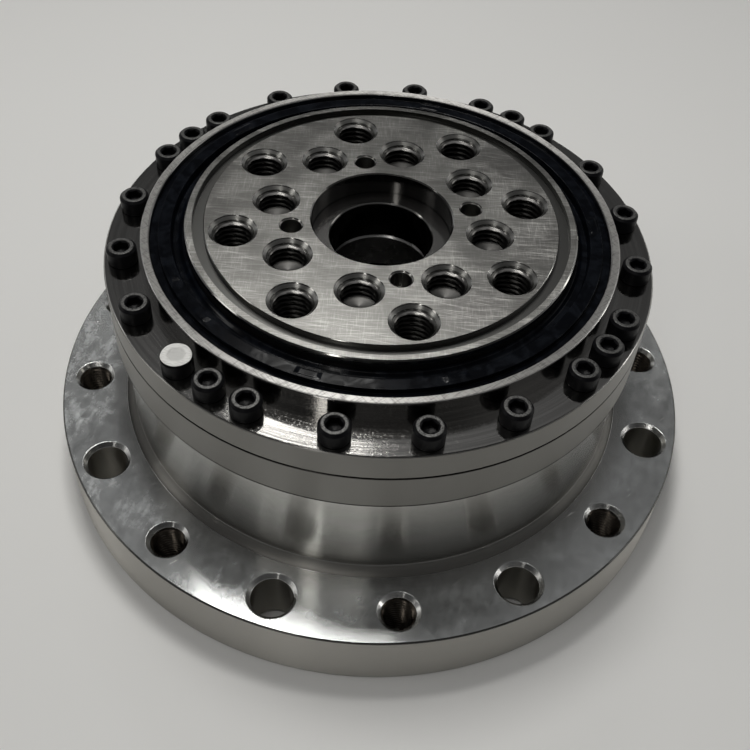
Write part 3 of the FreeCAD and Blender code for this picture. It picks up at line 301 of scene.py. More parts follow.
def thread_sleeve(major, pitch, top, bottom, open_top, open_bottom, columns=56):
    """The ridges of an internal thread as a closed sleeve.

    The radius at angle a and height z is the larger of two: the thread, major - depth * ridge(z / pitch
    - a / turn), and at each open end a 45 degree countersink, major - the distance from that end. The ridge
    is a flat-topped triangle wave. The sleeve stays one to three skins inside the hole's wall.
    """
    depth, skin, rows_per_pitch = 0.54 * pitch, 0.01, 10
    z = np.linspace(bottom, top, int(rows_per_pitch * (top - bottom) / pitch))[:, None]
    angle = np.arange(columns)[None, :] * TURN / columns
    saw = np.mod(z / pitch - angle / TURN, 1.0)
    ridge = np.clip(1.45 * (1 - np.abs(2 * saw - 1)) - 0.2, 0, 1)
    radius = major - 3 * skin - depth * ridge
    if open_top:
        radius = np.maximum(radius, major - (top - z))
    if open_bottom:
        radius = np.maximum(radius, major - (z - bottom))
    radius = np.minimum(radius, major - 2 * skin)
    inside = np.stack([radius * np.cos(angle), radius * np.sin(angle), z + 0 * angle], axis=-1)
    wall = turned(np.array([[major - skin, top], [major - skin, bottom]]), columns)
    points = np.concatenate([inside, wall])
    return points.reshape(-1, 3), grid_faces(len(points), columns, close_rows=True)


def hexagon(across, angle):
    """Distance from a hexagon's middle to its side: half its width / cos(angle to the nearest flat)."""
    sixth = TURN / 6
    return across / 2 / np.cos(np.mod(angle + sixth / 2, sixth) - sixth / 2)


def socket_screw(thread, length, head, head_height, socket, socket_depth, columns=60):
    """A socket head screw with its seat at z 0.

    Rows go up the shank, around the rounded head and down the socket. A row's radius is a circle's, except
    that the socket's rows take the larger of the hexagon's distance and the countersink, mouth - 1.2 * depth.
    """
    shank, tip, head_r, under = thread / 2 - 0.05, 0.5, head / 2, 0.2
    edge, mouth = 0.8, 0.67 * socket
    outside = rounded([(0, -length, 0), (shank - tip, -length, 0), (shank, -length + tip, 0.1),
                       (shank, 0, 0.05), (head_r - under, 0, 0.1), (head_r, under, 0.1),
                       (head_r, head_height - edge, 0.15), (head_r - edge, head_height, 0.15),
                       (mouth + 0.15, head_height, 0)])
    depth = np.r_[0.0, 0.06, np.linspace(0.12, 0.72, 7), socket_depth][:, None]
    angle = np.arange(columns) * TURN / columns
    circle = outside[:, :1] + 0 * angle
    six_sided = np.maximum(hexagon(socket, angle)[None], mouth - 1.2 * depth)
    point = np.array([[0.35 * socket / 2], [0.0]]) + 0 * angle
    radius = np.concatenate([circle, six_sided, point])
    drill = [[head_height - socket_depth - 0.25], [head_height - socket_depth - 0.45]]
    height = np.concatenate([outside[:, 1:], head_height - depth, drill]) + 0 * angle
    points = np.stack([radius * np.cos(angle), radius * np.sin(angle), height], axis=-1)
    return points.reshape(-1, 3), grid_faces(len(points), columns)


def screws_at(spots, seat, **sizes):
    """Screws at (x, y) spots on a seat. The k-th is turned by 0.61 k^2, so that no two sockets line up."""
    points, faces = socket_screw(**sizes)
    return copies(points + (0, 0, seat), faces, 0.61 * np.arange(len(spots)) ** 2, spots)


def seal_rubber(columns=720):
    """The rubber ring turned from its outline, with low pads moulded on its raised band.

    A pad lifts the band where both its angle and its radius lie inside the pad, and the lift falls off over
    the pad's edge: clip(1/2 - distance outside / edge) along times the same across.
    """
    wall_out, wall_in, wall_foot, shoulder = 66.45, 65.8, 76.4, 80.6
    band_in, band_out, band_top = 60.45, 64.05, 82.2
    lip, lip_back, lip_foot, lip_top = 56.55, 57.04, 76.8, 80.8
    spring_in, spring_out, spring_top, case_top = 57.54, 59.54, 78.84, 79.6
    line = rounded([(wall_out, wall_foot, 0), (wall_out, shoulder, 0.1), (band_out, shoulder, 0.15),
                    (band_out, band_top, 0.22), (63.6, band_top, 0), (60.9, band_top, 0),
                    (band_in, band_top, 0.22), (60.05, 79.9, 0.3), (58.4, 79.8, 0.5), (57.3, lip_top, 0.2),
                    (lip, lip_top, 0.1), (lip, 80.3, 0), (lip_back, spring_top, 0), (lip, 77.8, 0),
                    (lip, 77.3, 0), (lip_back, lip_foot, 0), (spring_in, lip_foot, 0),
                    (spring_in, spring_top, 0), (spring_out, spring_top, 0), (spring_out, case_top, 0),
                    (wall_in, case_top, 0), (wall_in, wall_foot, 0)])
    between = np.linspace(60.95, 63.55, 14)[::-1]
    split = int(np.argmax(line[:, 0] < 61.0))
    line = np.vstack([line[:split], np.column_stack([between, 0 * between + band_top]), line[split:]])
    points = turned(line, columns)
    angle = np.degrees(np.arctan2(points[..., 1], points[..., 0]))
    radius = np.hypot(points[..., 0], points[..., 1])

    # Each pad is the angle of its middle and its half width, in degrees.
    pads = ((-104.0, 2.2), (-122.0, 3.6), (-71.5, 2.6), (-36.5, 2.6), (38.0, 3.4), (111.0, 2.8), (171.0, 3.2))
    pad_r, pad_half, pad_lift, pad_edge = 62.2, 1.0, 0.16, 0.3
    across = np.clip(0.5 - (np.abs(radius - pad_r) - pad_half) / pad_edge, 0, 1)
    lift = 0 * radius
    for middle, half_width in pads:
        off = np.radians(np.abs((angle - middle + 180) % 360 - 180) - half_width) * radius
        lift = np.maximum(lift, pad_lift * np.clip(0.5 - off / pad_edge, 0, 1) * across)
    points[..., 2] += np.where(points[..., 2] > band_top - 0.01, lift, 0)
    return points.reshape(-1, 3), grid_faces(len(points), columns, close_rows=True)


def paint_dab(radius, thick, columns=96, rows=34):
    """Brushed-on paint over a screw head.

    Height falls from the middle as 1 - (distance / edge)^8, sinks by a dish over the filled hexagon and is
    lumpy as sin 7a sin 2d + sin (4a + 3d). The edge wanders as radius * (1 + 0.012 sin 3a + 0.008 sin 5a).
    """
    angle = np.arange(columns) * TURN / columns
    edge = radius * (1 + 0.012 * np.sin(3 * angle + 1) + 0.008 * np.sin(5 * angle))
    share = np.r_[np.linspace(0, 1, rows), 1.0, 0.0][:, None]
    under = np.r_[np.zeros(rows), 1.0, 1.0][:, None]
    distance = share * edge
    dish = 0.22 * np.clip((hexagon(PAINTED_HEX, angle - 0.3) - distance) / 0.45, 0, 1)
    lumps = np.sin(7 * angle) * np.sin(2 * distance) + np.sin(4 * angle + 3 * distance)
    height = np.where(under > 0, -0.05, (thick + 0.035 * lumps * share) * (1 - share ** 8) - dish)
    points = np.stack([distance * np.cos(angle), distance * np.sin(angle), height], axis=-1)
    return points.reshape(-1, 3), grid_faces(len(points), columns)


def flexspline():
    """The thin toothed cup.

    Teeth are trapezoids on the pitch circle. The rim at angle a is moved out by wave cos 2a and along by
    -wave / 2 sin 2a, and that share falls from 1 at the rim to 0 at the diaphragm.
    """
    teeth, pitch_r, wave, tip, root, play = 200, 50.0, 0.5, 0.45, 0.55, 0.02
    module = 2 * pitch_r / teeth
    thick, slope = math.pi * module / 4 - play, math.tan(math.radians(30))
    rise = np.array([-root, tip, tip, -root])
    side = np.array([-1, -1, 1, 1])
    half = side * (thick - rise * slope) / (pitch_r + rise)
    angle = (np.arange(teeth)[:, None] * TURN / teeth + half[None]).ravel()
    toothed = np.tile(pitch_r + rise, teeth)

    rim_r, wall_r, end, rim_top, corner_z = 48.2, 49.4, 28.6, 42.6, 56.7
    hub_r, hub_top, hub_break = 42.0, 65.25, 1.1
    rows = np.linspace(0, 1, 22)
    wall_z = rim_top + rows * (corner_z - rim_top)
    diaphragm = [(48.23, 59.53), (45.4, 60.7), (hub_r, 60.7), (hub_r, hub_top), (BORE_R + hub_break, hub_top),
                 (BORE_R, hub_top - hub_break), (BORE_R, 59.35), (45.6, 59.3), (47.44, 58.54)]
    smooth = np.vstack([np.column_stack([0 * rows + wall_r, wall_z]), diaphragm,
                        np.column_stack([0 * rows + rim_r, wall_z[::-1]]), [(rim_r, end)]])
    radius = np.vstack([toothed, toothed, smooth[:, :1] + 0 * angle])
    height = np.r_[end, rim_top, smooth[:, 1]][:, None] + 0 * angle
    share = np.clip((corner_z - height) / (corner_z - rim_top), 0, 1)
    middle = np.repeat(np.arange(teeth) * TURN / teeth, 4)[None]
    out = radius + share * wave * np.cos(2 * middle)
    along = angle - share * wave / 2 * np.sin(2 * middle) / pitch_r
    points = np.stack([out * np.cos(along), out * np.sin(along), height], axis=-1)
    return points.reshape(-1, 3), grid_faces(len(points), len(angle), close_rows=True)


# Finishes


class Signal:
    """A shader socket that takes part in arithmetic: an expression on values adds its Math nodes."""

    def __init__(self, socket):
        self.socket = socket

    def node(self, kind, settings=None, inputs=None, output=0):
        """Adds a node of that kind: its settings first, then the values or links of its sockets."""
        tree = self.socket.id_data
        made = tree.nodes.new("ShaderNode" + kind)
        for name, value in (settings or {}).items():
            setattr(made, name, value)
        for key, value in (inputs or {}).items():
            if isinstance(value, Signal):
                tree.links.new(value.socket, made.inputs[key])
            else:
                made.inputs[key].default_value = value
        return Signal(made.outputs[output])

    def math(self, operation, *others):
        return self.node("Math", {"operation": operation}, dict(enumerate((self, *others))))

    def ramp(self, low, high, low_value=0.0, high_value=1.0):
        """A smooth step from low_value at low to high_value at high, whichever of the two is larger."""
        return self.node("MapRange", {"interpolation_type": "SMOOTHSTEP"}, {
            0: self, 1: low, 2: high, 3: low_value, 4: high_value})

    def __add__(self, other):
        return self.math("ADD", other)

    __radd__ = __add__

    def __sub__(self, other):
        return self.math("SUBTRACT", other)

    def __rsub__(self, other):
        return self.node("Math", {"operation": "SUBTRACT"}, {0: other, 1: self})

    def __mul__(self, other):
        return self.math("MULTIPLY", other)

    __rmul__ = __mul__

    def __abs__(self):
        return self.math("ABSOLUTE")


class Finish:
    """A material on Object coordinates in millimetres, with the patterns that the pieces share."""

    def __init__(self, name, **constants):
        self.material = bpy.data.materials.new(name)
        self.material.use_nodes = True
        self.shader = self.material.node_tree.nodes["Principled BSDF"]
        for socket, value in constants.items():
            self.shader.inputs[socket.replace("_", " ")].default_value = value
        coordinates = Signal(self.material.node_tree.nodes.new("ShaderNodeTexCoord").outputs["Object"])
        self.place = coordinates.node("VectorMath", {"operation": "SCALE"}, {0: coordinates, "Scale": 1 / MM})
        self.x, self.y, self.z = [self.place.node("SeparateXYZ", inputs={0: self.place}, output=axis)
                                  for axis in range(3)]
        self.radius = (self.x * self.x + self.y * self.y).math("SQRT")

    def set(self, socket, signal):
        self.material.node_tree.links.new(signal.socket, self.shader.inputs[socket])

    def noise(self, scale, detail=2.0, at=None, rough=0.5, swirl=0.0):
        """Noise from 0 to 1 with features about 1 / scale millimetres wide."""
        return self.place.node("TexNoise", inputs={
            "Vector": at or self.place, "Scale": scale, "Detail": detail, "Roughness": rough,
            "Distortion": swirl})

    def stretched(self, angle, wide, long, detail=2.0):
        """Noise drawn out into straight strokes at an angle in degrees, of a width and length."""
        turned_place = self.place.node("Mapping", {"vector_type": "TEXTURE"}, {
            "Vector": self.place, "Rotation": (0, 0, math.radians(angle)), "Scale": (long, wide, wide)})
        return self.noise(1.0, detail, turned_place)

    def ring_marks(self, across, along=0.02, detail=3.0):
        """Fine turning marks: noise of the radius and height alone, with a slow change around."""
        spot = self.place.node("CombineXYZ", inputs={
            0: self.radius * across, 1: self.z * across, 2: self.x * along})
        return self.noise(1.0, detail, spot)

    def toward(self, side):
        """Distance from the axis toward a side, x cos side + y sin side."""
        return self.x * math.cos(side) + self.y * math.sin(side)

    def from_holes(self, circle_r, first, count):
        """Distance from the nearest of the middles of a circle of holes."""
        part = TURN / count
        turn = self.y.math("ARCTAN2", self.x) + (part / 2 - math.radians(first))
        turn = turn.math("FLOORED_MODULO", part) - part / 2
        out = self.radius * turn.math("COSINE") - circle_r
        aside = self.radius * turn.math("SINE")
        return (out * out + aside * aside).math("SQRT")

    def mix(self, factor, first, second):
        """A colour between two: each is a colour or a signal."""
        colours = {key: value if isinstance(value, Signal) else (*value, 1.0) for key, value in
                   ((6, first), (7, second))}
        return self.place.node("Mix", {"data_type": "RGBA"}, {0: factor, **colours}, output=2)

    def colour(self, tone, *covers):
        """Sets the base colour: a tone that each (mask, colour) pair covers in turn."""
        for mask, cover in covers:
            tone = self.mix(mask, tone, cover)
        self.set("Base Color", tone)

    def bump(self, height, strength):
        """Relief a tenth of a millimetre deep where the height goes from 0 to 1."""
        self.set("Normal", height.node("Bump", inputs={
            "Strength": strength, "Distance": 0.1 * MM, "Height": height}))


def base_aluminium():
    """Turned aluminium: a cloudy film on the flange, pale countersinks, painted shade on the foot's fillet
    and along the top edge, and a painted dark reflection about the neck's foot.
    """
    made = Finish("base_aluminium", Anisotropic=1.0, Anisotropic_Rotation=0.25)
    neck = made.z.ramp(BASE_TOP + 2.0, BASE_TOP + 2.8)
    above = made.z.ramp(BASE_TOP - 0.2, BASE_TOP - 0.1)
    # Painted shade: the fillet at the neck's foot is painted dark.
    foot = made.radius.ramp(FOOT_R + 0.4, FOOT_R) * above * (1 - neck)
    side = made.radius.ramp(BASE_R - 0.25, BASE_R - 0.05)
    # Painted shade: the break along the top edge is painted near black as a dark line.
    edge = made.radius.ramp(BASE_R - 0.55, BASE_R - 0.4) * made.z.ramp(BASE_TOP - 0.6, BASE_TOP - 0.4)

    # The holes: everything below either face of the flange, outside the smooth middle.
    depth = BASE_TOP / 2 - abs(made.z - BASE_TOP / 2)
    middle_r = 66.0
    holes = made.radius.ramp(middle_r, middle_r + 1.0) * (1 - side)
    mouth = depth.ramp(0.02, 0.12) * holes
    bore = depth.ramp(BASE_CHAMFER - 0.1, BASE_CHAMFER + 0.2) * holes
    plain = (1 - neck.math("MAXIMUM", mouth)) * (1 - foot) * (1 - side)

    clouds = made.noise(0.06, 3.0).ramp(0.3, 0.7, 0.35, 1.0)
    clouds = clouds * made.toward(FILM_SIDE).ramp(-50.0, 60.0, 0.55, 1.0)
    clouds = clouds * made.radius.ramp(FOOT_R - 0.4, FOOT_R + 9.6, 0.45, 1.0)
    milk = made.noise(0.26, 4.0, rough=0.56, swirl=0.3).ramp(0.3, 0.72)
    wiped = made.stretched(112.0, 1.7, 5.0, 5.0).ramp(0.38, 0.7)
    film = clouds * (0.18 + milk * 0.56 + wiped * 0.34) * plain
    # Painted dark reflection: the plate near the neck and the lower neck are painted darker toward the neck's
    # foot.
    oil_and_painted_shade = made.radius.ramp(FOOT_R + 8.6, FOOT_R + 0.1) * made.z.ramp(BASE_TOP + 24.0, BASE_TOP + 3.0)
    oil_and_painted_shade = oil_and_painted_shade * above * (1 - mouth) * (1 - side)
    rings = made.ring_marks(4.0)
    nicks = made.stretched(75.0, 0.45, 8.0, 1.0).ramp(0.75, 0.775) * plain
    made.colour((0.46, 0.468, 0.465),
                (film, (0.83, 0.856, 0.866)),
                (side, (0.45, 0.437, 0.407)),
                (neck, (0.53, 0.524, 0.496)),
                (oil_and_painted_shade * 0.5, (0.2, 0.193, 0.178)),
                (foot, (0.18, 0.176, 0.164)),
                (mouth, (0.6, 0.6, 0.585)),
                (bore, (0.33, 0.318, 0.285)),
                (edge, (0.1, 0.1, 0.095)),
                (nicks, (0.85, 0.85, 0.84)))
    made.set("Metallic", 1 - film * 0.55)
    made.set("Roughness", 0.15 + film * 0.05 + rings * 0.04 + side * 0.2 + neck * 0.02 + bore * 0.12
             + foot * 0.2)
    made.bump(rings * 0.5 + nicks, 0.04)
    return made.material


def ring_steel():
    """Bearing and spline steel: dull ground rim, bright turned seat and boss, cross-scratched boss top."""
    made = Finish("ring_steel", Metallic=1.0, Anisotropic=0.7, Anisotropic_Rotation=0.25)
    rim = made.radius.ramp(RIM_R - 0.35, RIM_R - 0.1)
    top = made.z.ramp(BOSS_TOP - 0.3, BOSS_TOP - 0.1)
    # Dark lines: the seam between the bands is a dark joint, and the line at the band's lower edge is a
    # painted shadow.
    seams = made.z.ramp(NECK_TOP + 1.0, NECK_TOP + 0.7)
    seams = seams.math("MAXIMUM", abs(made.z - SEAM_Z).ramp(0.5, 0.3))
    joint_line_and_painted_shadow = seams * made.radius.ramp(RIM_R - 0.7, RIM_R - 0.5)
    rings = made.ring_marks(4.0)
    brushed = made.ring_marks(2.2, 0.05, 4.0).ramp(0.4, 0.64) * (1 - rim) * (1 - top)
    grain = made.noise(1.6, 4.0).ramp(0.5, 0.75) * (1 - rim) * (1 - top)
    scratches = made.stretched(75.0, 0.35, 4.0).ramp(0.5, 0.66)
    scratches = scratches + made.stretched(-15.0, 0.35, 4.0).ramp(0.5, 0.66)
    made.colour((0.32, 0.315, 0.305),
                (brushed, (0.4, 0.393, 0.38)),
                (rim, (0.235, 0.23, 0.215)),
                (top, (0.46, 0.453, 0.44)),
                (top * scratches * 0.6, (0.24, 0.236, 0.228)),
                (joint_line_and_painted_shadow, (0.03, 0.029, 0.027)))
    made.set("Roughness", 0.08 + brushed * 0.03 + grain * 0.1 + rim * 0.3 + top * (0.4 + scratches * 0.06))
    made.bump(rings * 0.7 + top * scratches + grain * 0.3, 0.12)
    return made.material


def ground_steel():
    """The output flange: a face ground both ways with a painted glare on one side, a recess wall painted dark
    in streaks as painted shade, a paler ledge.
    """
    made = Finish("ground_steel", Metallic=1.0)
    face = made.z.ramp(FACE_Z - 0.12, FACE_Z - 0.02)
    outside = made.radius.ramp(DISC_R - 0.5, DISC_R)
    deep = made.z.ramp(FACE_Z - 1.0, FACE_Z - 1.7) * outside
    around_recess = made.radius.ramp(RECESS_R + 1.5, RECESS_R + 3.5)
    sunk = made.z.ramp(FACE_Z - 0.1, FACE_Z - 0.4) * around_recess * (1 - outside)
    recess = made.radius.ramp(RECESS_R + 0.3, RECESS_R + 0.1) * made.z.ramp(FACE_Z - 0.3, FACE_Z - 0.7)
    ledge = made.z.ramp(LEDGE_Z + 0.25, LEDGE_Z + 0.1) * made.radius.ramp(RECESS_R - 0.1, RECESS_R - 0.3)
    ledge = ledge * made.radius.ramp(BORE_R + 0.05, BORE_R + 0.3)
    # Painted shade: the recess wall is painted dark, in streaks.
    streaks = made.noise(0.5, 3.0, made.place.node("VectorMath", {"operation": "MULTIPLY"}, {
        0: made.place, 1: (1.0, 1.0, 0.05)}))
    painted_recess_shade = made.mix(streaks, (0.05, 0.05, 0.05), (0.13, 0.128, 0.125))

    worn = made.noise(0.07, 4.0, swirl=0.6).ramp(0.36, 0.66)
    # Painted glare: toward one side the face is painted lighter and its strokes brighter.
    rubbed_and_painted_glare = made.toward(PAINTED_GLARE_SIDE).ramp(-40.0, 45.0)
    across = made.stretched(35.0, 0.3, 9.0, 3.0).ramp(0.5, 0.68)
    along = made.stretched(124.0, 0.3, 4.0, 3.0).ramp(0.5, 0.68)
    hair = made.stretched(24.0, 0.2, 14.0).ramp(0.64, 0.7)
    strokes = across * (0.24 + worn * 0.26) + along * (0.06 + worn * 0.24) + hair * 0.45
    strokes = strokes * (0.78 + rubbed_and_painted_glare * 0.56)
    rings = made.ring_marks(5.0)
    made.colour((0.18, 0.178, 0.17),
                (worn * 0.45 + rubbed_and_painted_glare * 0.55, (0.31, 0.307, 0.293)),
                (face * strokes, (0.6, 0.595, 0.574)),
                (sunk, (0.28, 0.277, 0.266)),
                (recess, painted_recess_shade),
                (ledge, (0.42, 0.412, 0.4)),
                (deep, (0.14, 0.14, 0.135)))
    made.set("Roughness", 0.08 + rings * 0.05 + face * (0.2 + worn * 0.04 + strokes * 0.14) + sunk * 0.18
             + deep * 0.2 + recess * 0.02 + ledge * 0.02)
    made.bump(face * strokes + (1 - face) * rings * 0.3, 0.14)
    return made.material


def gear_steel(name, tone, rough):
    """Turned steel of the inner pieces, with ring marks and faint oil stains."""
    made = Finish(name, Metallic=1.0)
    stain = made.noise(0.15, 4.0).ramp(0.45, 0.7)
    rings = made.ring_marks(4.0)
    made.colour(tone, (stain, tuple(0.72 * shade for shade in tone)))
    made.set("Roughness", rough + rings * 0.1 + stain * 0.08)
    made.bump(rings, 0.15)
    return made.material


def seal_finish():
    """Blue-black moulded rubber, glossier where a film of oil lies on it."""
    made = Finish("seal_rubber", Specular_IOR_Level=0.07, Coat_Roughness=0.06)
    film = made.noise(0.2, 4.0, swirl=1.0).ramp(0.4, 0.66)
    made.colour((0.0018, 0.0022, 0.0034), (film, (0.003, 0.0042, 0.007)))
    made.set("Roughness", 0.14 + film * 0.08 + made.noise(6.0) * 0.05)
    made.set("Coat Weight", film * 0.25)
    made.bump(made.noise(4.0, 3.0), 0.05)
    return made.material


def screw_finish():
    """Black oxide, rubbed lighter on the flat rings of the heads, and bare steel at the long tips."""
    made = Finish("black_screw_steel", Specular_IOR_Level=0.1)
    grain = made.noise(7.0, 4.0)
    head_top = SEAT_Z + HEAD_HEIGHT
    rubbed_and_painted_glare = made.z.ramp(head_top - 0.16, head_top - 0.03) * made.noise(2.6, 5.0).ramp(0.2, 0.6)
    inner_r = INNER_HOLES[0]
    bare = made.radius.ramp(inner_r + 10.5, inner_r + 8.5) * made.z.ramp(SCREW_TIP - 1.4, SCREW_TIP - 1.1)
    dimple = made.from_holes(*INNER_HOLES) * bare
    made.colour((0.004, 0.004, 0.005), (rubbed_and_painted_glare, (0.12, 0.12, 0.118)), (bare, (0.065, 0.064, 0.062)))
    made.set("Metallic", rubbed_and_painted_glare * 0.7 + bare)
    made.set("Roughness", 0.32 + grain * 0.12 + rubbed_and_painted_glare * 0.06)
    made.bump(grain * 0.1 + dimple * 1.6, 1.0)
    return made.material


def paint_finish():
    """White marking paint with brush streaks, thinner and greyer over the filled socket."""
    made = Finish("white_marking_paint")
    streak = made.stretched(28.0, 0.4, 2.0, 3.0)
    middle_x, middle_y = around(SCREW_CIRCLE, MARKED_SCREW_ANGLE, 1)[0].tolist()
    away_x, away_y = made.x - middle_x, made.y - middle_y
    away_squared = away_x * away_x + away_y * away_y
    ring = (away_squared + streak * 3).ramp((PAINTED_HEX / 2 - 0.4) ** 2, 10.0)
    made.colour((0.58, 0.58, 0.565),
                (ring, (0.82, 0.82, 0.8)),
                (streak.ramp(0.42, 0.72) * 0.6, (0.5, 0.5, 0.485)))
    made.set("Roughness", 0.42 + streak * 0.2)
    made.bump(streak, 0.2)
    return made.material


def nylon_finish():
    """Moulded off-white nylon with a fine grain."""
    made = Finish("white_nylon", Subsurface_Weight=0.05)
    grain = made.noise(3.0, 3.0)
    made.colour((0.7, 0.68, 0.62), (grain, (0.78, 0.76, 0.7)))
    made.set("Roughness", 0.45 + grain * 0.12)
    made.bump(grain, 0.08)
    return made.material


def thread_finish():
    """Cut threads painted dark for the shade inside their holes, with oily changes of tone, darkest in the
    output's blind holes as painted shade, with a painted highlight on the first crest there.
    """
    made = Finish("cut_thread", Metallic=1.0)
    oil_and_painted_shade = made.noise(0.9, 3.0)
    painted_output_hole_shade = made.z.ramp(BASE_TOP + 2.0, BASE_TOP + 4.0)
    cone = made.z.ramp(FACE_Z - 2.0, FACE_Z - 1.6)
    painted_crest_highlight = made.z.ramp(FACE_Z - 2.6, FACE_Z - 2.2) * made.z.ramp(FACE_Z - 1.7, FACE_Z - 2.0)
    # Painted shade deep in the output's holes, paler at their countersinks, and a painted highlight on the
    # first crest.
    made.colour(made.mix(oil_and_painted_shade, (0.04, 0.034, 0.028), (0.09, 0.078, 0.064)),
                (painted_output_hole_shade, (0.02, 0.0195, 0.0185)),
                (cone, (0.15, 0.148, 0.14)),
                (painted_crest_highlight, (0.34, 0.332, 0.32)))
    made.set("Roughness", 0.2 + oil_and_painted_shade * 0.1)
    made.bump(made.noise(5.0, 2.0), 0.03)
    return made.material


finishes = {
    "base_aluminium": base_aluminium(),
    "ring_steel": ring_steel(),
    "ground_steel": ground_steel(),
    "seal_rubber": seal_finish(),
    "black_screw_steel": screw_finish(),
    "bearing_steel": gear_steel("bearing_steel", (0.7, 0.7, 0.69), 0.1),
    "gear_steel": gear_steel("gear_steel", (0.46, 0.455, 0.45), 0.2),
    "white_nylon": nylon_finish(),
}
thread_metal = thread_finish()
white_paint = paint_finish()

for subpart in frame["record"]["subparts"]:
    metal = nodes[subpart["node"]].data.materials
    metal.clear()
    metal.append(finishes[subpart["material_slot"]])


# Pieces

base = piece("base_flange_drilled", *base_flange(), finishes["base_aluminium"], sharp=16.0)
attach(base, "housing")
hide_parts("base_flange")

mounting = around(SCREW_CIRCLE, SCREW_STEP, 20)
assembly = around(SCREW_CIRCLE, 0.0, 4)
for name, spots, length in (("mounting_screws", mounting, 30.0), ("assembly_screws", assembly, 18.0)):
    grid = screws_at(spots, SEAT_Z, thread=5.0, length=length, head=8.5, head_height=HEAD_HEIGHT, socket=4.0,
                     socket_depth=2.6)
    screws = piece(name + "_black", *grid, finishes["black_screw_steel"])
    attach(screws, "housing")
    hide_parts(name)

dab_points, dab_faces = paint_dab(radius=4.05, thick=0.22)
dab_points = dab_points + np.r_[around(SCREW_CIRCLE, MARKED_SCREW_ANGLE, 1)[0], SEAT_Z + HEAD_HEIGHT]
dab = piece("screw_paint_mark", dab_points, dab_faces, white_paint)
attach(dab, "housing")

seal = piece("oil_seal_rubber", *seal_rubber(), finishes["seal_rubber"])
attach(seal, "housing")
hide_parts("oil_seal")

cup = piece("flexspline_cup", *flexspline(), finishes["gear_steel"])
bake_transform(cup)
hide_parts("flexspline")

# Each sleeve of thread ends where its hole's countersink begins: thread, top, bottom and which ends are open.
OUTPUT_MOUTH = FACE_Z - 1.0
BASE_MOUTH = BASE_TOP - BASE_CHAMFER
top_open, both_open, bottom_open = (True, False), (True, True), (False, True)
for name, body, circle, thread, top, bottom, ends in (
        ("outer_output_threads", "output", OUTER_HOLES, OUTPUT_THREAD, OUTPUT_MOUTH, BLIND_END, top_open),
        ("inner_output_threads", "output", INNER_HOLES, OUTPUT_THREAD, OUTPUT_MOUTH, SCREW_TIP, top_open),
        ("base_threads", "housing", BASE_TAPPED, BASE_THREAD, BASE_MOUTH, BASE_CHAMFER, both_open),
        ("motor_threads", "housing", MOTOR_TAPPED, MOTOR_THREAD, MOTOR_END, BASE_CHAMFER, bottom_open)):
    sleeve = thread_sleeve(*thread, top, bottom, *ends)
    threads = piece(name, *copies(*sleeve, spots=around(*circle)), thread_metal)
    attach(threads, body)


# Camera, floor and light

PHOTO_PIXELS = 750
FOCAL_PIXELS = 1012.07
SENSOR = 36.0
AZIMUTH = math.radians(33.17)
ELEVATION = math.radians(48.047)
ROLL = math.radians(3.875)
DISTANCE, ASIDE, UPWARD = 0.29206, 0.00101, -0.04567
back = Vector((math.sin(AZIMUTH) * math.cos(ELEVATION), -math.cos(AZIMUTH) * math.cos(ELEVATION),
               math.sin(ELEVATION)))
level = Vector((math.cos(AZIMUTH), math.sin(AZIMUTH), 0))
upright = back.cross(level)
right = level * math.cos(ROLL) + upright * math.sin(ROLL)
up = upright * math.cos(ROLL) - level * math.sin(ROLL)
camera = bpy.data.objects.new("camera", bpy.data.cameras.new("camera"))
camera.data.sensor_width = SENSOR
camera.data.lens = SENSOR * FOCAL_PIXELS / PHOTO_PIXELS
camera.data.clip_start = 0.01
stand = Vector((0, 0, FACE_Z * MM)) + back * DISTANCE + level * ASIDE + upright * UPWARD
camera.matrix_world = Matrix.Translation(stand) @ Matrix((right, up, back)).transposed().to_4x4()
bpy.context.scene.collection.objects.link(camera)
bpy.context.scene.camera = camera


def seen(signal):
    """1 for rays that show the background, straight or in metal, and 0 for rays that light the object."""
    camera_ray, glossy_ray, through_ray = [signal.node("LightPath", output=f"Is {kind} Ray") for kind in
                                           ("Camera", "Glossy", "Transmission")]
    return camera_ray.math("MAXIMUM", glossy_ray).math("MAXIMUM", through_ray)


# The floor is pale all round, and its far part is as pale as the horizon for the rays that show it.
FLOOR_REACH = 4.0
FLOOR_GAP = 0.0002
floor_mesh = bpy.data.meshes.new("floor")
floor_mesh.from_pydata([(-FLOOR_REACH, -FLOOR_REACH, 0), (FLOOR_REACH, -FLOOR_REACH, 0),
                        (FLOOR_REACH, FLOOR_REACH, 0), (-FLOOR_REACH, FLOOR_REACH, 0)], [], [(0, 1, 2, 3)])
floor = bpy.data.objects.new("floor", floor_mesh)
floor.location.z = -FLOOR_GAP
pale_floor = Finish("pale_floor", Roughness=0.7, Emission_Strength=1.0)
far = pale_floor.radius.ramp(350.0, 1500.0) * seen(pale_floor.radius)
pale_floor.set("Emission Color", pale_floor.mix(far, (0, 0, 0), (0.42, 0.42, 0.41)))
pale_floor.colour((0.82, 0.82, 0.81), (pale_floor.noise(0.004), (0.86, 0.86, 0.85)))
floor_mesh.materials.append(pale_floor.material)
bpy.context.scene.collection.objects.link(floor)


WARM_WHITE = (1, 0.985, 0.95)
LAMP_AIM = Vector((0, 0, 0.05))


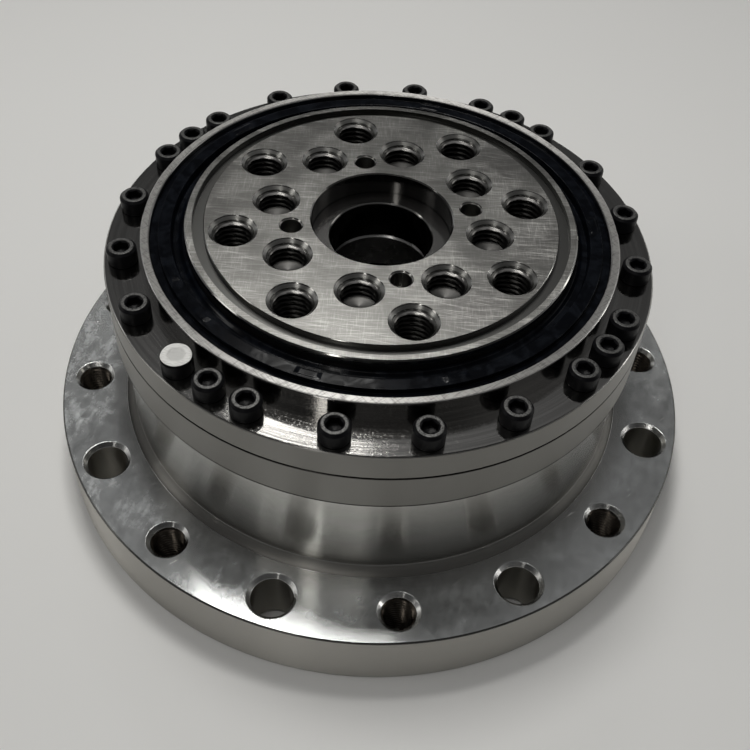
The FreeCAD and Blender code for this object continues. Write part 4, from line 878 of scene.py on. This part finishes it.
def softbox(name, azimuth, elevation, distance, width, height, watts):
    """An area lamp that faces the middle of the gearbox from an azimuth counted from the camera's."""
    turn, rise = AZIMUTH + math.radians(azimuth), math.radians(elevation)
    toward = Vector((math.sin(turn) * math.cos(rise), -math.cos(turn) * math.cos(rise), math.sin(rise)))
    lamp = bpy.data.objects.new(name, bpy.data.lights.new(name, "AREA"))
    lamp.data.shape = "RECTANGLE"
    lamp.data.size, lamp.data.size_y = width, height
    lamp.data.energy = watts
    lamp.data.color = WARM_WHITE
    lamp.location = LAMP_AIM + toward * distance
    lamp.rotation_euler = toward.to_track_quat("Z", "Y").to_euler()
    bpy.context.scene.collection.objects.link(lamp)


# Azimuth and elevation in degrees, distance, width and height in metres, watts.
softbox("overhead", -160, 73, 0.75, 0.21, 0.21, 2.4)
softbox("back", -173, 52, 1.0, 0.15, 0.09, 0.3)
softbox("front_high", -30, 69, 1.0, 0.5, 0.12, 0.75)
softbox("front_low", -21, 44, 1.0, 0.08, 0.2, 0.3)
softbox("window_left", -84, 29, 1.0, 0.25, 0.25, 0.52)
softbox("horizon_left", -95, 9, 1.0, 1.0, 0.05, 0.18)
softbox("horizon_right", 98, 9, 1.0, 0.8, 0.05, 0.5)
softbox("window_right", 115, 27, 1.0, 0.4, 0.4, 0.3)

# The sky glows from above and is darker on the camera's side. The rays that show it see a pale horizon.
BACKDROP = 0.55
world = bpy.data.worlds.new("studio")
world.use_nodes = True
bpy.context.scene.world = world
sky = world.node_tree.nodes["Background"]
direction = Signal(world.node_tree.nodes.new("ShaderNodeTexCoord").outputs["Generated"])
rise = direction.node("SeparateXYZ", inputs={0: direction}, output=2)
camera_side = tuple(level.cross((0, 0, 1)))
facing = direction.node("VectorMath", {"operation": "DOT_PRODUCT"}, {0: direction, 1: camera_side}, output=1)
dome = rise.ramp(0.6, 0.95, 0.08, 0.3) * facing.ramp(0.1, 0.6, 1.0, 0.4)
dome = dome + rise.ramp(0.08, 0.4, 1.0, 0.0) * seen(rise) * (BACKDROP - dome)
world.node_tree.links.new(dome.socket, sky.inputs["Color"])
sky.inputs["Strength"].default_value = 1.0
bpy.context.scene.view_settings.view_transform = "Standard"
